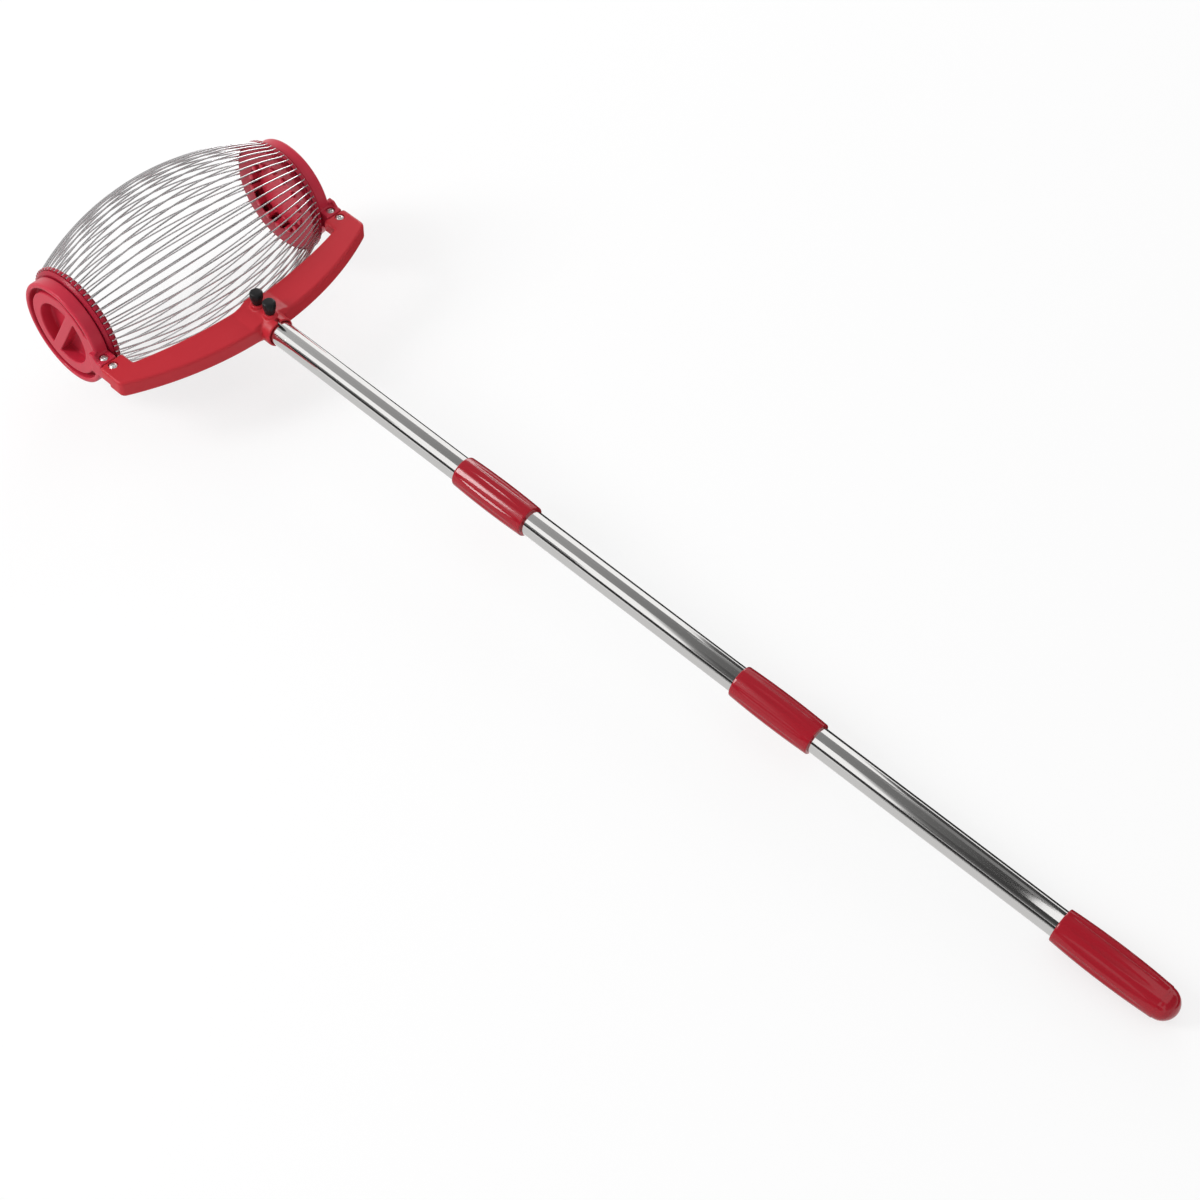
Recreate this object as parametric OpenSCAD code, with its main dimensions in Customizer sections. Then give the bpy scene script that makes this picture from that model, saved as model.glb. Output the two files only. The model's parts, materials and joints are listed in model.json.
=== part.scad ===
// Nut gatherer: a basket of springy wires rolls between two holders on a bow-shaped yoke,
// at the end of a pole that screws together from three tubes.
// It lies on the ground as it is put down: basket and hand grip touch the ground at z = 0,
// the basket turns about X, and the pole runs towards -Y.

/* [Basket] */
// Diameter over the wires at the belly
belly_d = 156; // [144:1:164]
// Length of the wires between the two hub faces
basket_l = 222; // [180:1:250]
// Diameter of one wire
wire_d = 1.7; // [1.3:0.1:2.2]
// Number of wires, a multiple of four
wire_n = 60; // [40:4:64]
// Depth of each wire's end in its hub
wire_seat = 3; // [2:0.25:3]

/* [Hubs] */
// Thickness of the toothed hub disc
hub_t = 3.2; // [3.1:0.1:5]
// Height of the hub's teeth over the wires
tooth_lip = 0.1; // [0.1:0.1:2]
// Width of clearance on each side of a wire in its slot
slot_gap = 0.15; // [0.1:0.05:0.3]
// Thickness of the ring that traps the wires' ends
ring_t = 2.8; // [2.5:0.1:5]
// Width of that ring
ring_w = 16; // [14:0.05:18]
// Step from the toothed hub down to the smooth ring
ring_step = 1.2; // [0.2:0.1:2]
// How far that ring tapers in towards the holder
ring_taper = 3; // [0.5:0.1:3.5]
// Length of the hub's plain collar inside the basket
collar_l = 3.5; // [2:0.25:6]
// Step from the teeth down to that collar
collar_step = 4.8; // [3:0.1:7]
// Wall of the hub's bearing sleeve
sleeve_wall = 3; // [2:0.1:5]
// Number of screws that hold each ring
ring_screw_n = 6; // [4:1:8]
// Thread diameter of the ring screws
ring_screw_d = 2.5; // [2:0.5:3]
// Head diameter of the ring screws
ring_screw_head_d = 4.6; // [4:0.1:5]
// Head height of the ring screws
ring_screw_head_h = 1.6; // [1:0.1:2]
// Length of the ring screws' thread
ring_screw_l = 5; // [4:0.5:6]

/* [Holders] */
// Step from the wire ring down to the holder
holder_step = 4.45; // [2:0.05:6]
// Depth of an end holder
holder_depth = 11.7; // [10:0.1:15]
// Width of the raised rim of the outer face
rim_w = 4.75; // [3:0.25:6]
// Height of the rim over the face inside it
rim_step = 0.8; // [0.4:0.2:3]
// Radius of the rim's rounded edge
rim_round = 2; // [0.5:0.25:2.5]
// Width of the groove inside the rim
groove_w = 4.2; // [2:0.2:6]
// Width of the solid bridge that breaks the groove at the lug
groove_bridge_w = 42; // [30:1:50]
// Thickness of the web behind the groove
web_t = 3.5; // [2.5:0.1:5]
// Thickness of the cup's floor
cup_floor_t = 3; // [2:0.1:4]
// Length of the snap fingers
finger_l = 9; // [6:0.1:9.5]
// Width of the bar across the cup
bar_w = 9.5; // [5:0.5:12]
// Lean of the bar from upright
bar_lean = 30; // [0:1:60]
// Diameter of the stub axle on which a hub turns
stub_d = 66; // [60:0.5:72]
// Thickness of the snap fingers
finger_t = 4.5; // [4:0.1:8]
// Number of snap fingers at the end of the stub axle
finger_n = 14; // [10:1:16]
// Width of the slots between the fingers
finger_slot = 8.5; // [3:0.5:9.5]
// Height of the snap fingers' barbs
finger_barb = 1.3; // [0.8:0.1:1.8]
// How far the finger slots run into the thickness of the cup's floor
finger_deep_share = 0.5; // [0.2:0.1:0.7]

/* [Lugs] */
// Width of a lug
lug_w = 16.4; // [15:0.2:18]
// Reach of a lug beyond the holder
lug_reach = 10.2; // [9:0.2:12]
// Thickness of the wall along a lug's outer side
lug_wall_t = 3; // [2:0.2:3.4]
// Height of that wall over the lug
lug_wall_h = 4; // [2:0.2:6]
// Length of that wall's level top beyond the holder
lug_wall_l = 1; // [0.5:0.5:2]
// Thickness of a lug's upper prong
prong_top_t = 5; // [4:0.2:5.6]
// Thickness of a lug's lower prong
prong_low_t = 6; // [5:0.2:6]
// Distance from a lug's end to each of its two screws
screw_off = 6; // [5:0.2:6.4]
// Thread diameter of the lug screws
screw_d = 4; // [3:0.5:4]
// Head diameter of the lug screws
screw_head_d = 7.6; // [6:0.2:8]
// Head height of the lug screws
screw_head_h = 2.4; // [1.8:0.1:3]
// Width across the flats of the lug nuts
nut_af = 7; // [6:0.5:7.5]
// Height of the lug nuts
nut_h = 3.2; // [2.4:0.1:3.4]

/* [Yoke] */
// Thickness of the yoke
yoke_t = 16; // [15:0.5:20]
// Distance from the basket to the yoke's inner edge
basket_gap = 9; // [8:0.5:18]
// Width of the yoke at its middle
yoke_w = 30.5; // [26:0.5:36]
// How far the inner edge bends forward at its ends
inner_sag = 15; // [10:0.5:18]
// How far the outer edge bends forward at its ends
outer_sag = 32.5; // [28:0.5:34]
// How far each yoke end stands out past its holder
yoke_proud = 6.5; // [5:0.5:9]
// Width of each end block
end_w = 24; // [21:0.5:27]
// Radius of the yoke's rounded top and bottom edges
edge_round = 2.5; // [1:0.25:3]
// Radius of the yoke's outer corners
corner_round = 6; // [2:0.5:8]

/* [Socket] */
// Outside diameter of the pole socket
socket_od = 26.8; // [26.4:0.2:32]
// How far the socket's mouth stands out of the yoke
socket_proud = 9.7; // [6:0.1:16]
// Thickness of the socket's blind end
socket_end_t = 4; // [3:0.5:6]
// Half width of the sloped shoulders beside the socket
shoulder_half = 30; // [22:1:40]
// Width of the notch in the socket's mouth
notch_w = 4; // [2:0.5:6]
// Depth of the notch in the socket's mouth
notch_l = 5; // [3:0.5:5]

/* [Thumb screws] */
// Distance between the two thumb screws
knob_pitch = 16; // [14:0.5:18]
// Distance from the socket's mouth to the nearer thumb screw
knob_off = 11.8; // [11.5:0.1:13]
// Diameter of a knob at its top
knob_d = 11.6; // [9:0.2:13]
// Diameter of a knob at its foot
knob_foot_d = 8.4; // [7:0.2:9]
// Height of a knob
knob_h = 12.4; // [8:0.2:16]
// Radius of a knob's rounded top edge
knob_round = 2; // [0.5:0.1:2.2]
// Thread diameter of the thumb screws
stud_d = 5; // [4:0.5:5]
// Depth of the stud in its knob
stud_hold = 8; // [5:0.5:9]
// Outside diameter of the brass inserts
insert_d = 8; // [7:0.25:8.5]
// Height of the brass inserts
insert_h = 4; // [3:0.25:5]
// Diameter of the pads under the knobs
pad_d = 12; // [10.5:0.5:13]
// Height of the pads over the tube
pad_h = 5; // [4.6:0.2:6]

/* [Pole] */
// Outside diameter of the steel tubes
tube_d = 22; // [20:0.5:23]
// Wall of the steel tubes
tube_wall = 0.6; // [0.5:0.1:1]
// Length of bare tube between two red fittings
tube_bare = 216.5; // [150:0.5:300]
// Length of a coupling
coupling_l = 74; // [72:1:90]
// Diameter of a coupling at its middle
coupling_d = 28.4; // [27.6:0.2:32]
// Diameter of a coupling at its ends
coupling_end_d = 26.6; // [26:0.2:27.2]
// Depth of the tube that is fixed in a coupling
tube_seat = 34; // [28:1:34]
// Depth of the tube that screws out of a coupling
pilot_l = 15.5; // [12:0.5:16]
// Thread diameter of the plugs
plug_d = 18; // [14:0.5:18]
// Length of the plugs' thread
plug_l = 20; // [16:0.5:20]
// Length of a plug's stem inside its tube
plug_stem = 25; // [15:1:40]
// Diameter of the hole through a plug
plug_bore = 10; // [6:0.5:12]
// Number of flutes round a coupling and the grip
flute_n = 10; // [8:1:12]
// Radius of a flute's hollow
flute_r = 5; // [4:0.5:8]
// Height of a flute's floor over the fitting's ends
flute_rise = 0.15; // [0.1:0.05:0.3]

/* [Grip] */
// Length of the hand grip
grip_l = 96; // [90:1:120]
// Largest diameter of the hand grip
grip_d = 29.6; // [28.4:0.2:34]
// Diameter of the hand grip where it starts
grip_start_d = 26.8; // [26:0.2:27.4]
// Diameter of the hand grip's domed end
grip_end_d = 25.6; // [24.4:0.2:26]
// Length of the hand grip's swollen part
grip_swell = 80; // [70:1:82]
// Depth of the tube in the hand grip
grip_hold = 66; // [50:1:68]

/* [Hidden] */
$fn = 96;
red = "#b5202c";
bright_red = "#c42f3a";
dark_red = "#96202a";
steel = "#b9bcc0";
wire_steel = "#8d8f93";
black = "#1d1e20";
brass = "#b08d48";
white_plastic = "#e3e1dc";
// One overrun for all cuts
over = 1;
// Radial clearance of a running fit
fit_gap = 0.05;
// Clearance between lapped flat faces
lap_gap = 0.15;
// Clearance of a screw in its hole, on the radius
hole_gap = 0.15;
// Axial gap between a hub and its holder
run_gap = 0.8;
// Axial gap between a hub and the snap fingers
snap_gap = 0.6;
// Gap between a thumb screw's tip and the tube, and between a knob and its pad
tip_gap = 0.3;
knob_gap = 0.4;
// Sides of a wire's section and of the circle that it bends on
wire_sides = 24;
bow_sides = 240;
// Steps along the bowed side of a coupling or the grip
bow_steps = 12;

// Basket
belly_r = belly_d / 2 - wire_d / 2;
sleeve_r = stub_d / 2 + fit_gap + sleeve_wall;
ring_r = sleeve_r + lap_gap + ring_w;
hub_r = ring_r + ring_step;
collar_r = hub_r - collar_step;
wire_circle_r = hub_r - tooth_lip - wire_d / 2;
hub_x = basket_l / 2;
collar_x = hub_x - collar_l;
bow_sag = belly_r - wire_circle_r;
bow_r = arc_radius(hub_x, bow_sag);
bow_half = asin((hub_x + wire_seat) / bow_r);
entry_lean = asin(hub_x / bow_r);
wire_pitch = 360 / wire_n;
slot_w = wire_d + 2 * slot_gap;
ring_x = hub_x + hub_t;
ring_screw_r = (stub_d / 2 + sleeve_wall + ring_r) / 2;

// Holders
holder_r = ring_r - holder_step;
cup_r = stub_d / 2 - finger_t;
holder_x = ring_x + ring_t + run_gap;
holder_out_x = holder_x + holder_depth;
face_x = holder_out_x - rim_step;
groove_r = holder_r - rim_w;
stub_x = collar_x - snap_gap - finger_barb;
finger_floor_x = stub_x + finger_l;
cup_floor_x = finger_floor_x + cup_floor_t;
finger_slot_x = min(finger_floor_x + finger_deep_share * cup_floor_t, holder_x);
lug_out_x = holder_x + lug_w;
lug_end_y = holder_r + lug_reach;
screw_x = holder_x + lug_w / 2;
lug_screw_y = lug_end_y - screw_off;
yoke_screw_y = lug_end_y + screw_off;
prong_end_y = yoke_screw_y + screw_off;
tongue_y = lug_screw_y - screw_off / 2;
tongue_top = yoke_t / 2 - prong_top_t - lap_gap;
tongue_low = prong_low_t - yoke_t / 2 + lap_gap;
head_seat = yoke_t / 2 - screw_head_h;
nut_z = -yoke_t / 2;

// Yoke
yoke_half = holder_out_x + yoke_proud;
end_in_x = yoke_half - end_w;
inner_y = belly_d / 2 + basket_gap;
outer_y = inner_y + yoke_w;
inner_r = arc_radius(end_in_x, inner_sag);
outer_r = arc_radius(yoke_half, outer_sag);
end_front_y = lug_end_y + lap_gap;
corner_x = yoke_half - corner_round;
corner_y = outer_y - outer_r + sqrt(pow(outer_r - corner_round, 2) - pow(corner_x, 2));

// Socket and thumb screws
tube_r = tube_d / 2;
socket_r = socket_od / 2;
mouth_y = outer_y + socket_proud;
socket_floor_y = inner_y + socket_end_t;
shoulder_top = socket_r * sin(60);
shoulder_top_half = socket_r * cos(60);
knob_y = [mouth_y - knob_off - knob_pitch, mouth_y - knob_off];
pad_z = tube_r + pad_h;
insert_z = pad_z - insert_h;
knob_z = pad_z + knob_gap;

// Pole
section = tube_bare + coupling_l;
lower_coupling_y = mouth_y + tube_bare;
upper_coupling_y = lower_coupling_y + section;
grip_y = upper_coupling_y + section;
pilot_y = coupling_l - pilot_l;
thread_y = pilot_y - plug_l;
coupling_r = coupling_d / 2;
coupling_bow = arc_radius(coupling_l / 2, (coupling_d - coupling_end_d) / 2);

// Grip
grip_r = grip_d / 2;
grip_end_r = grip_end_d / 2;
grip_bow = arc_radius(grip_swell / 2, (grip_d - grip_start_d) / 2);
grip_belly_y = grip_y + grip_swell / 2;
grip_dome_y = grip_y + grip_l - grip_end_r;

// How the tool lies: it tips until the swollen grip meets the ground that the wires stand on
stand_z = belly_r * cos(wire_pitch / 2) + wire_d / 2;
grip_lever = grip_bow - grip_r;
tip = asin((stand_z - grip_bow) / norm([grip_belly_y, grip_lever])) + atan2(grip_lever, grip_belly_y);
shift_y = (grip_dome_y * cos(tip) + grip_end_r - stand_z) / 2;

// Radius of the arc that rises by sag over a half chord
function arc_radius(half, sag) = (half * half + sag * sag) / (2 * sag);

// Sets the tool down on the ground, centred over the origin
module laid() {
    translate([0, shift_y, stand_z])
        rotate([tip, 0, 0])
            children();
}

// Turns a shape made along +Z to run along the pole, starting at a distance from the roller
module along_pole(distance) {
    translate([0, -distance, 0])
        rotate([90, 0, 0])
            children();
}

// Turns a shape made along +Z to run along the roller's axis
module along_roller() {
    rotate([0, 90, 0])
        children();
}

// A ring or disc between two places along its axis
module ring(outer, inner, low, high) {
    rotate_extrude()
        translate([inner, low])
            square([outer - inner, high - low]);
}

// Mirrors a right-hand piece for the left end
module at_end(side) {
    mirror([side < 0 ? 1 : 0, 0, 0])
        children();
}

// A disc with rounded edges, centred on its thickness
module rounded_disc(radius, thick, edge) {
    rotate_extrude() {
        translate([0, edge - thick / 2])
            square([radius, thick - 2 * edge]);
        translate([0, -thick / 2])
            square([radius - edge, thick]);
        for (side = [-1, 1])
            translate([radius - edge, side * (thick / 2 - edge)])
                circle(edge);
    }
}

// A disc that cuts a concave wall and rounds the wall's edges
module flared_disc(radius, thick, edge) {
    rotate_extrude() {
        translate([0, -thick / 2 - over])
            square([radius, thick + 2 * over]);
        for (side = [0, 1])
            mirror([0, side])
                difference() {
                    translate([radius - over, thick / 2 - edge])
                        square([edge + over, edge + over]);
                    translate([radius + edge, thick / 2 - edge])
                        circle(edge);
                }
    }
}

// Box between two corners
module span(low, high) {
    translate(low)
        cube(high - low);
}

// A barrel-shaped solid of revolution along +Z, in steps along its bowed side
module barrel(radius, bow, length) {
    rotate_extrude()
        polygon([
            [0, 0],
            for (i = [0 : bow_steps])
                [radius - bow + sqrt(bow * bow - pow(length * (i / bow_steps - 1 / 2), 2)), length * i / bow_steps],
            [0, length]
        ]);
}

// Straight flutes along +Z whose floor is at a given radius
module flutes(floor_r, low, high) {
    for (i = [0 : flute_n - 1])
        rotate([0, 0, 360 * i / flute_n])
            translate([floor_r + flute_r, 0, low])
                cylinder(r = flute_r, h = high - low);
}

// The bow between the end blocks, with its corners rounded
module yoke_bow() {
    difference() {
        intersection() {
            translate([0, outer_r - outer_y, 0])
                rounded_disc(outer_r, yoke_t, edge_round);
            span([-yoke_half, -outer_y - over, -yoke_t], [yoke_half, -end_front_y, yoke_t]);
        }
        intersection() {
            translate([0, inner_r - inner_y, 0])
                flared_disc(inner_r, yoke_t, edge_round);
            span([-end_in_x, -outer_y, -yoke_t], [end_in_x, 0, yoke_t]);
        }
        for (side = [-1, 1])
            at_end(side)
                corner_waste();
    }
}

// What is cut away outside a rounded outer corner
module corner_waste() {
    normal = [corner_x, -corner_y - outer_r + outer_y] / (outer_r - corner_round);
    reach = 2 * corner_round;
    translate([corner_x, -corner_y, -yoke_t])
        linear_extrude(2 * yoke_t)
            difference() {
                polygon([[0, 0], reach * normal, [reach, -reach], [reach, 0]]);
                circle(corner_round);
            }
}

// The yoke's end tongue that enters a lug, and the room under it for the lug's lower prong
module tongue() {
    span([holder_x, -end_front_y - over, tongue_low], [lug_out_x, -tongue_y, tongue_top]);
}

module prong_room() {
    span([holder_x - lap_gap, -prong_end_y - lap_gap, -yoke_t], [yoke_half + over, -tongue_y + over, tongue_low]);
}

// Socket body, its sloped shoulders and the pads under the knobs
module socket_body() {
    along_pole(inner_y)
        cylinder(r = socket_r, h = mouth_y - inner_y);
    along_pole(inner_y)
        linear_extrude(outer_y - inner_y - edge_round)
            polygon([
                for (corner = [[shoulder_half, yoke_t / 2], [shoulder_top_half, shoulder_top]]) corner,
                for (corner = [[-shoulder_top_half, shoulder_top], [-shoulder_half, yoke_t / 2]]) corner,
                for (corner = [[-shoulder_half, -yoke_t / 2], [-shoulder_top_half, -shoulder_top]]) corner,
                for (corner = [[shoulder_top_half, -shoulder_top], [shoulder_half, -yoke_t / 2]]) corner
            ]);
    for (y = knob_y)
        translate([0, -y, 0])
            cylinder(d = pad_d, h = pad_z);
}

module socket_holes() {
    along_pole(socket_floor_y)
        cylinder(r = tube_r + fit_gap, h = mouth_y - socket_floor_y + over);
    span([-notch_w / 2, -mouth_y - over, 0], [notch_w / 2, notch_l - mouth_y, socket_r + over]);
    for (y = knob_y)
        translate([0, -y, 0]) {
            cylinder(r = stud_d / 2 + hole_gap, h = pad_z + over);
            translate([0, 0, insert_z])
                cylinder(r = insert_d / 2 + fit_gap, h = insert_h + over);
        }
}

module yoke() {
    color(bright_red)
        laid()
            difference() {
                union() {
                    yoke_bow();
                    socket_body();
                    for (side = [-1, 1])
                        at_end(side)
                            tongue();
                }
                socket_holes();
                for (side = [-1, 1])
                    at_end(side) {
                        prong_room();
                        screw_hole(lug_screw_y);
                        screw_hole(yoke_screw_y);
                        head_room(yoke_screw_y);
                    }
            }
}

// Holes for a lug screw, its head and its nut
module screw_hole(y) {
    translate([screw_x, -y, -yoke_t])
        cylinder(r = screw_d / 2 + hole_gap, h = 2 * yoke_t);
}

module head_room(y) {
    translate([screw_x, -y, head_seat])
        cylinder(r = screw_head_d / 2 + 2 * hole_gap, h = screw_head_h + over);
}

module nut_room(y) {
    translate([screw_x, -y, nut_z - over])
        cylinder(d = (nut_af + 2 * hole_gap) / cos(30), h = nut_h + over, $fn = 6);
}

// Drum, stub axle and barbs of a holder, along +Z
module holder_body() {
    rotate_extrude() {
        translate([0, holder_x])
            square([holder_r, holder_depth - rim_round]);
        translate([0, holder_x])
            square([holder_r - rim_round, holder_depth]);
        translate([holder_r - rim_round, holder_out_x - rim_round])
            circle(rim_round);
        translate([0, stub_x])
            square([stub_d / 2, holder_x - stub_x + over]);
        polygon([
            [0, stub_x],
            [stub_d / 2, stub_x],
            [stub_d / 2 + finger_barb, stub_x + finger_barb],
            [0, stub_x + finger_barb]
        ]);
    }
}

// Face step, groove, cup and finger slots of a holder, along +Z
module holder_hollows() {
    ring(groove_r, 0, face_x, holder_out_x + over);
    ring(groove_r, groove_r - groove_w, holder_x + web_t, face_x + over);
    ring(cup_r, 0, cup_floor_x, face_x + over);
    ring(cup_r, 0, stub_x - over, finger_floor_x);
    for (i = [0 : finger_n - 1])
        rotate([0, 0, 360 * i / finger_n]) {
            span([cup_r / 2, -finger_slot / 2, stub_x - over], [stub_d, finger_slot / 2, finger_floor_x]);
            span([cup_r, -finger_slot / 2, stub_x], [stub_d, finger_slot / 2, finger_slot_x]);
        }
}

// Wall along a lug's outer side, rooted in the rim and sloping down to the lug's end
module lug_wall() {
    wall_end_y = holder_r + lug_wall_l;
    span([face_x, -holder_r, 0], [lug_out_x, -groove_r, yoke_t / 2 + lug_wall_h]);
    translate([lug_out_x - lug_wall_t, 0, 0])
        rotate([90, 0, 90])
            linear_extrude(lug_wall_t)
                polygon([
                    [-groove_r, 0],
                    [-groove_r, yoke_t / 2 + lug_wall_h],
                    [-wall_end_y, yoke_t / 2 + lug_wall_h],
                    [-wall_end_y - lug_wall_h, yoke_t / 2],
                    [-wall_end_y - lug_wall_h, 0]
                ]);
}

// Lug of a holder: a fork whose lower prong runs on under the yoke
module lug() {
    difference() {
        union() {
            span([holder_x, -lug_end_y, -yoke_t / 2], [lug_out_x, -groove_r, yoke_t / 2]);
            span([holder_x, -prong_end_y, -yoke_t / 2], [lug_out_x, -groove_r, prong_low_t - yoke_t / 2]);
            lug_wall();
        }
        span([holder_x - over, -lug_end_y - over, tongue_low - lap_gap],
             [lug_out_x + over, lap_gap - tongue_y, tongue_top + lap_gap]);
        screw_hole(lug_screw_y);
        screw_hole(yoke_screw_y);
        head_room(lug_screw_y);
        nut_room(lug_screw_y);
        nut_room(yoke_screw_y);
    }
}

// The groove's bridge and the bar across the cup
module groove_bridge() {
    intersection() {
        along_roller()
            ring(groove_r + over, groove_r - groove_w - over, holder_x + web_t - over, face_x);
        span([0, -holder_r, -groove_bridge_w / 2], [holder_out_x, 0, groove_bridge_w / 2]);
    }
}

module cup_bar() {
    intersection() {
        along_roller()
            ring(cup_r + over, 0, cup_floor_x - over, face_x);
        rotate([bar_lean, 0, 0])
            span([0, -bar_w / 2, -holder_r], [holder_out_x, bar_w / 2, holder_r]);
    }
}

module holder(side) {
    color(red)
        laid()
            at_end(side) {
                difference() {
                    along_roller()
                        holder_body();
                    along_roller()
                        holder_hollows();
                }
                groove_bridge();
                cup_bar();
                lug();
            }
}

module left_holder() {
    holder(-1);
}

module right_holder() {
    holder(1);
}

// One pan-head screw along +Z, head up, with its seat at the origin
module pan_screw(thread_d, head_d, head_h, length) {
    difference() {
        union() {
            translate([0, 0, -length])
                cylinder(d = thread_d, h = length + head_h / 2);
            intersection() {
                cylinder(d = head_d, h = head_h);
                translate([0, 0, head_h - head_d])
                    sphere(head_d);
            }
        }
        for (turn = [0, 90])
            rotate([0, 0, turn])
                span([-head_d / 4, -head_d / 16, head_h / 2], [head_d / 4, head_d / 16, head_h + over]);
    }
}

module holder_screws() {
    color(steel)
        laid()
            for (side = [-1, 1])
                for (y = [lug_screw_y, yoke_screw_y])
                    translate([side * screw_x, -y, head_seat])
                        pan_screw(screw_d, screw_head_d, screw_head_h, head_seat - nut_z);
}

module holder_nuts() {
    color(steel)
        laid()
            for (side = [-1, 1])
                for (y = [lug_screw_y, yoke_screw_y])
                    translate([side * screw_x, -y, nut_z])
                        difference() {
                            cylinder(d = nut_af / cos(30), h = nut_h, $fn = 6);
                            translate([0, 0, -over])
                                cylinder(r = screw_d / 2 + fit_gap, h = nut_h + 2 * over);
                        }
}

// Turns the basket so that it stands on two wires
module rolled() {
    laid()
        rotate([wire_pitch / 2 - tip, 0, 0])
            children();
}

// Slot of one wire in the hub's teeth, in the plane of the wire at the top
module wire_slot() {
    translate([hub_x, 0, wire_circle_r])
        rotate([0, entry_lean, 0])
            span([-hub_t, -slot_w / 2, -wire_d / 2 - slot_gap], [2 * hub_t, slot_w / 2, hub_r]);
}

module ring_screw_places() {
    for (i = [0 : ring_screw_n - 1])
        rotate([360 * i / ring_screw_n, 0, 0])
            translate([0, 0, ring_screw_r])
                children();
}

module hub(side) {
    color(dark_red)
        rolled()
            at_end(side)
                difference() {
                    along_roller()
                        union() {
                            ring(hub_r, stub_d / 2 + fit_gap, hub_x, ring_x);
                            ring(collar_r, stub_d / 2 + fit_gap, collar_x, ring_x);
                            ring(sleeve_r, stub_d / 2 + fit_gap, hub_x, ring_x + ring_t);
                        }
                    for (i = [0 : wire_n - 1])
                        rotate([i * wire_pitch, 0, 0])
                            wire_slot();
                    ring_screw_places()
                        translate([ring_x + ring_t - ring_screw_head_h - ring_screw_l - over, 0, 0])
                            along_roller()
                                cylinder(r = ring_screw_d / 2 + fit_gap, h = 2 * ring_screw_l);
                }
}

module left_hub() {
    hub(-1);
}

module right_hub() {
    hub(1);
}

module wire_ring(side) {
    color(red)
        rolled()
            at_end(side)
                difference() {
                    along_roller()
                        rotate_extrude()
                            polygon([
                                [sleeve_r + lap_gap, ring_x],
                                [ring_r, ring_x],
                                [ring_r - ring_taper, ring_x + ring_t],
                                [sleeve_r + lap_gap, ring_x + ring_t]
                            ]);
                    ring_screw_places()
                        translate([ring_x - over, 0, 0])
                            along_roller() {
                                cylinder(r = ring_screw_d / 2 + hole_gap, h = ring_t + 2 * over);
                                translate([0, 0, over + ring_t - ring_screw_head_h])
                                    cylinder(r = ring_screw_head_d / 2 + hole_gap, h = ring_screw_head_h + over);
                            }
                }
}

module left_wire_ring() {
    wire_ring(-1);
}

module right_wire_ring() {
    wire_ring(1);
}

module ring_screws(side) {
    color(steel)
        rolled()
            at_end(side)
                ring_screw_places()
                    translate([ring_x + ring_t - ring_screw_head_h, 0, 0])
                        along_roller()
                            pan_screw(ring_screw_d, ring_screw_head_d, ring_screw_head_h, ring_screw_l);
}

module left_ring_screws() {
    ring_screws(-1);
}

module right_ring_screws() {
    ring_screws(1);
}

// One wire: an arc in the XZ plane, bowed outwards
module wire() {
    translate([0, 0, belly_r - bow_r])
        rotate([90, 0, 0])
            rotate([0, 0, 90 - bow_half])
                rotate_extrude(angle = 2 * bow_half, $fn = bow_sides)
                    translate([bow_r, 0])
                        circle(d = wire_d, $fn = wire_sides);
}

module cage_wires() {
    color(wire_steel)
        rolled()
            for (i = [0 : wire_n - 1])
                rotate([i * wire_pitch, 0, 0])
                    wire();
}

// One knob on its foot, bored for its stud
module knob(y) {
    color(black)
        laid()
            translate([0, -y, knob_z])
                difference() {
                    rotate_extrude() {
                        polygon([
                            [0, 0],
                            [knob_foot_d / 2, 0],
                            [knob_d / 2, knob_h / 2],
                            [knob_d / 2, knob_h - knob_round],
                            [knob_d / 2 - knob_round, knob_h - knob_round],
                            [knob_d / 2 - knob_round, knob_h],
                            [0, knob_h]
                        ]);
                        translate([knob_d / 2 - knob_round, knob_h - knob_round])
                            circle(knob_round);
                    }
                    translate([0, 0, -over])
                        cylinder(r = stud_d / 2 + fit_gap, h = stud_hold + over);
                }
}

module front_knob() {
    knob(knob_y[0]);
}

module rear_knob() {
    knob(knob_y[1]);
}

module stud(y) {
    color(steel)
        laid()
            translate([0, -y, tube_r + tip_gap])
                cylinder(d = stud_d, h = knob_z + stud_hold - fit_gap - tube_r - tip_gap);
}

module front_stud() {
    stud(knob_y[0]);
}

module rear_stud() {
    stud(knob_y[1]);
}

module clamp_inserts() {
    color(brass)
        laid()
            for (y = knob_y)
                translate([0, -y, 0])
                    ring(insert_d / 2, stud_d / 2 + fit_gap, insert_z, pad_z);
}

// A steel tube between two distances along the pole
module pole_tube(low, high) {
    color(steel)
        laid()
            along_pole(low)
                ring(tube_r, tube_r - tube_wall, 0, high - low);
}

module lower_tube() {
    pole_tube(socket_floor_y + lap_gap, lower_coupling_y + tube_seat);
}

module middle_tube() {
    pole_tube(lower_coupling_y + pilot_y + lap_gap, upper_coupling_y + tube_seat);
}

module upper_tube() {
    pole_tube(upper_coupling_y + pilot_y + lap_gap, grip_y + grip_hold);
}

// A fluted coupling: fixed on the tube before it, threaded for the plug of the next one
module coupling(y) {
    color(red)
        laid()
            along_pole(y)
                difference() {
                    barrel(coupling_r, coupling_bow, coupling_l);
                    flutes(coupling_end_d / 2 + flute_rise, -over, coupling_l + over);
                    translate([0, 0, -over])
                        cylinder(r = tube_r + fit_gap, h = tube_seat + lap_gap + over);
                    translate([0, 0, thread_y - lap_gap])
                        cylinder(r = plug_d / 2 + fit_gap, h = coupling_l);
                    translate([0, 0, pilot_y])
                        cylinder(r = tube_r + fit_gap, h = pilot_l + over);
                }
}

module lower_coupling() {
    coupling(lower_coupling_y);
}

module upper_coupling() {
    coupling(upper_coupling_y);
}

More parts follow.
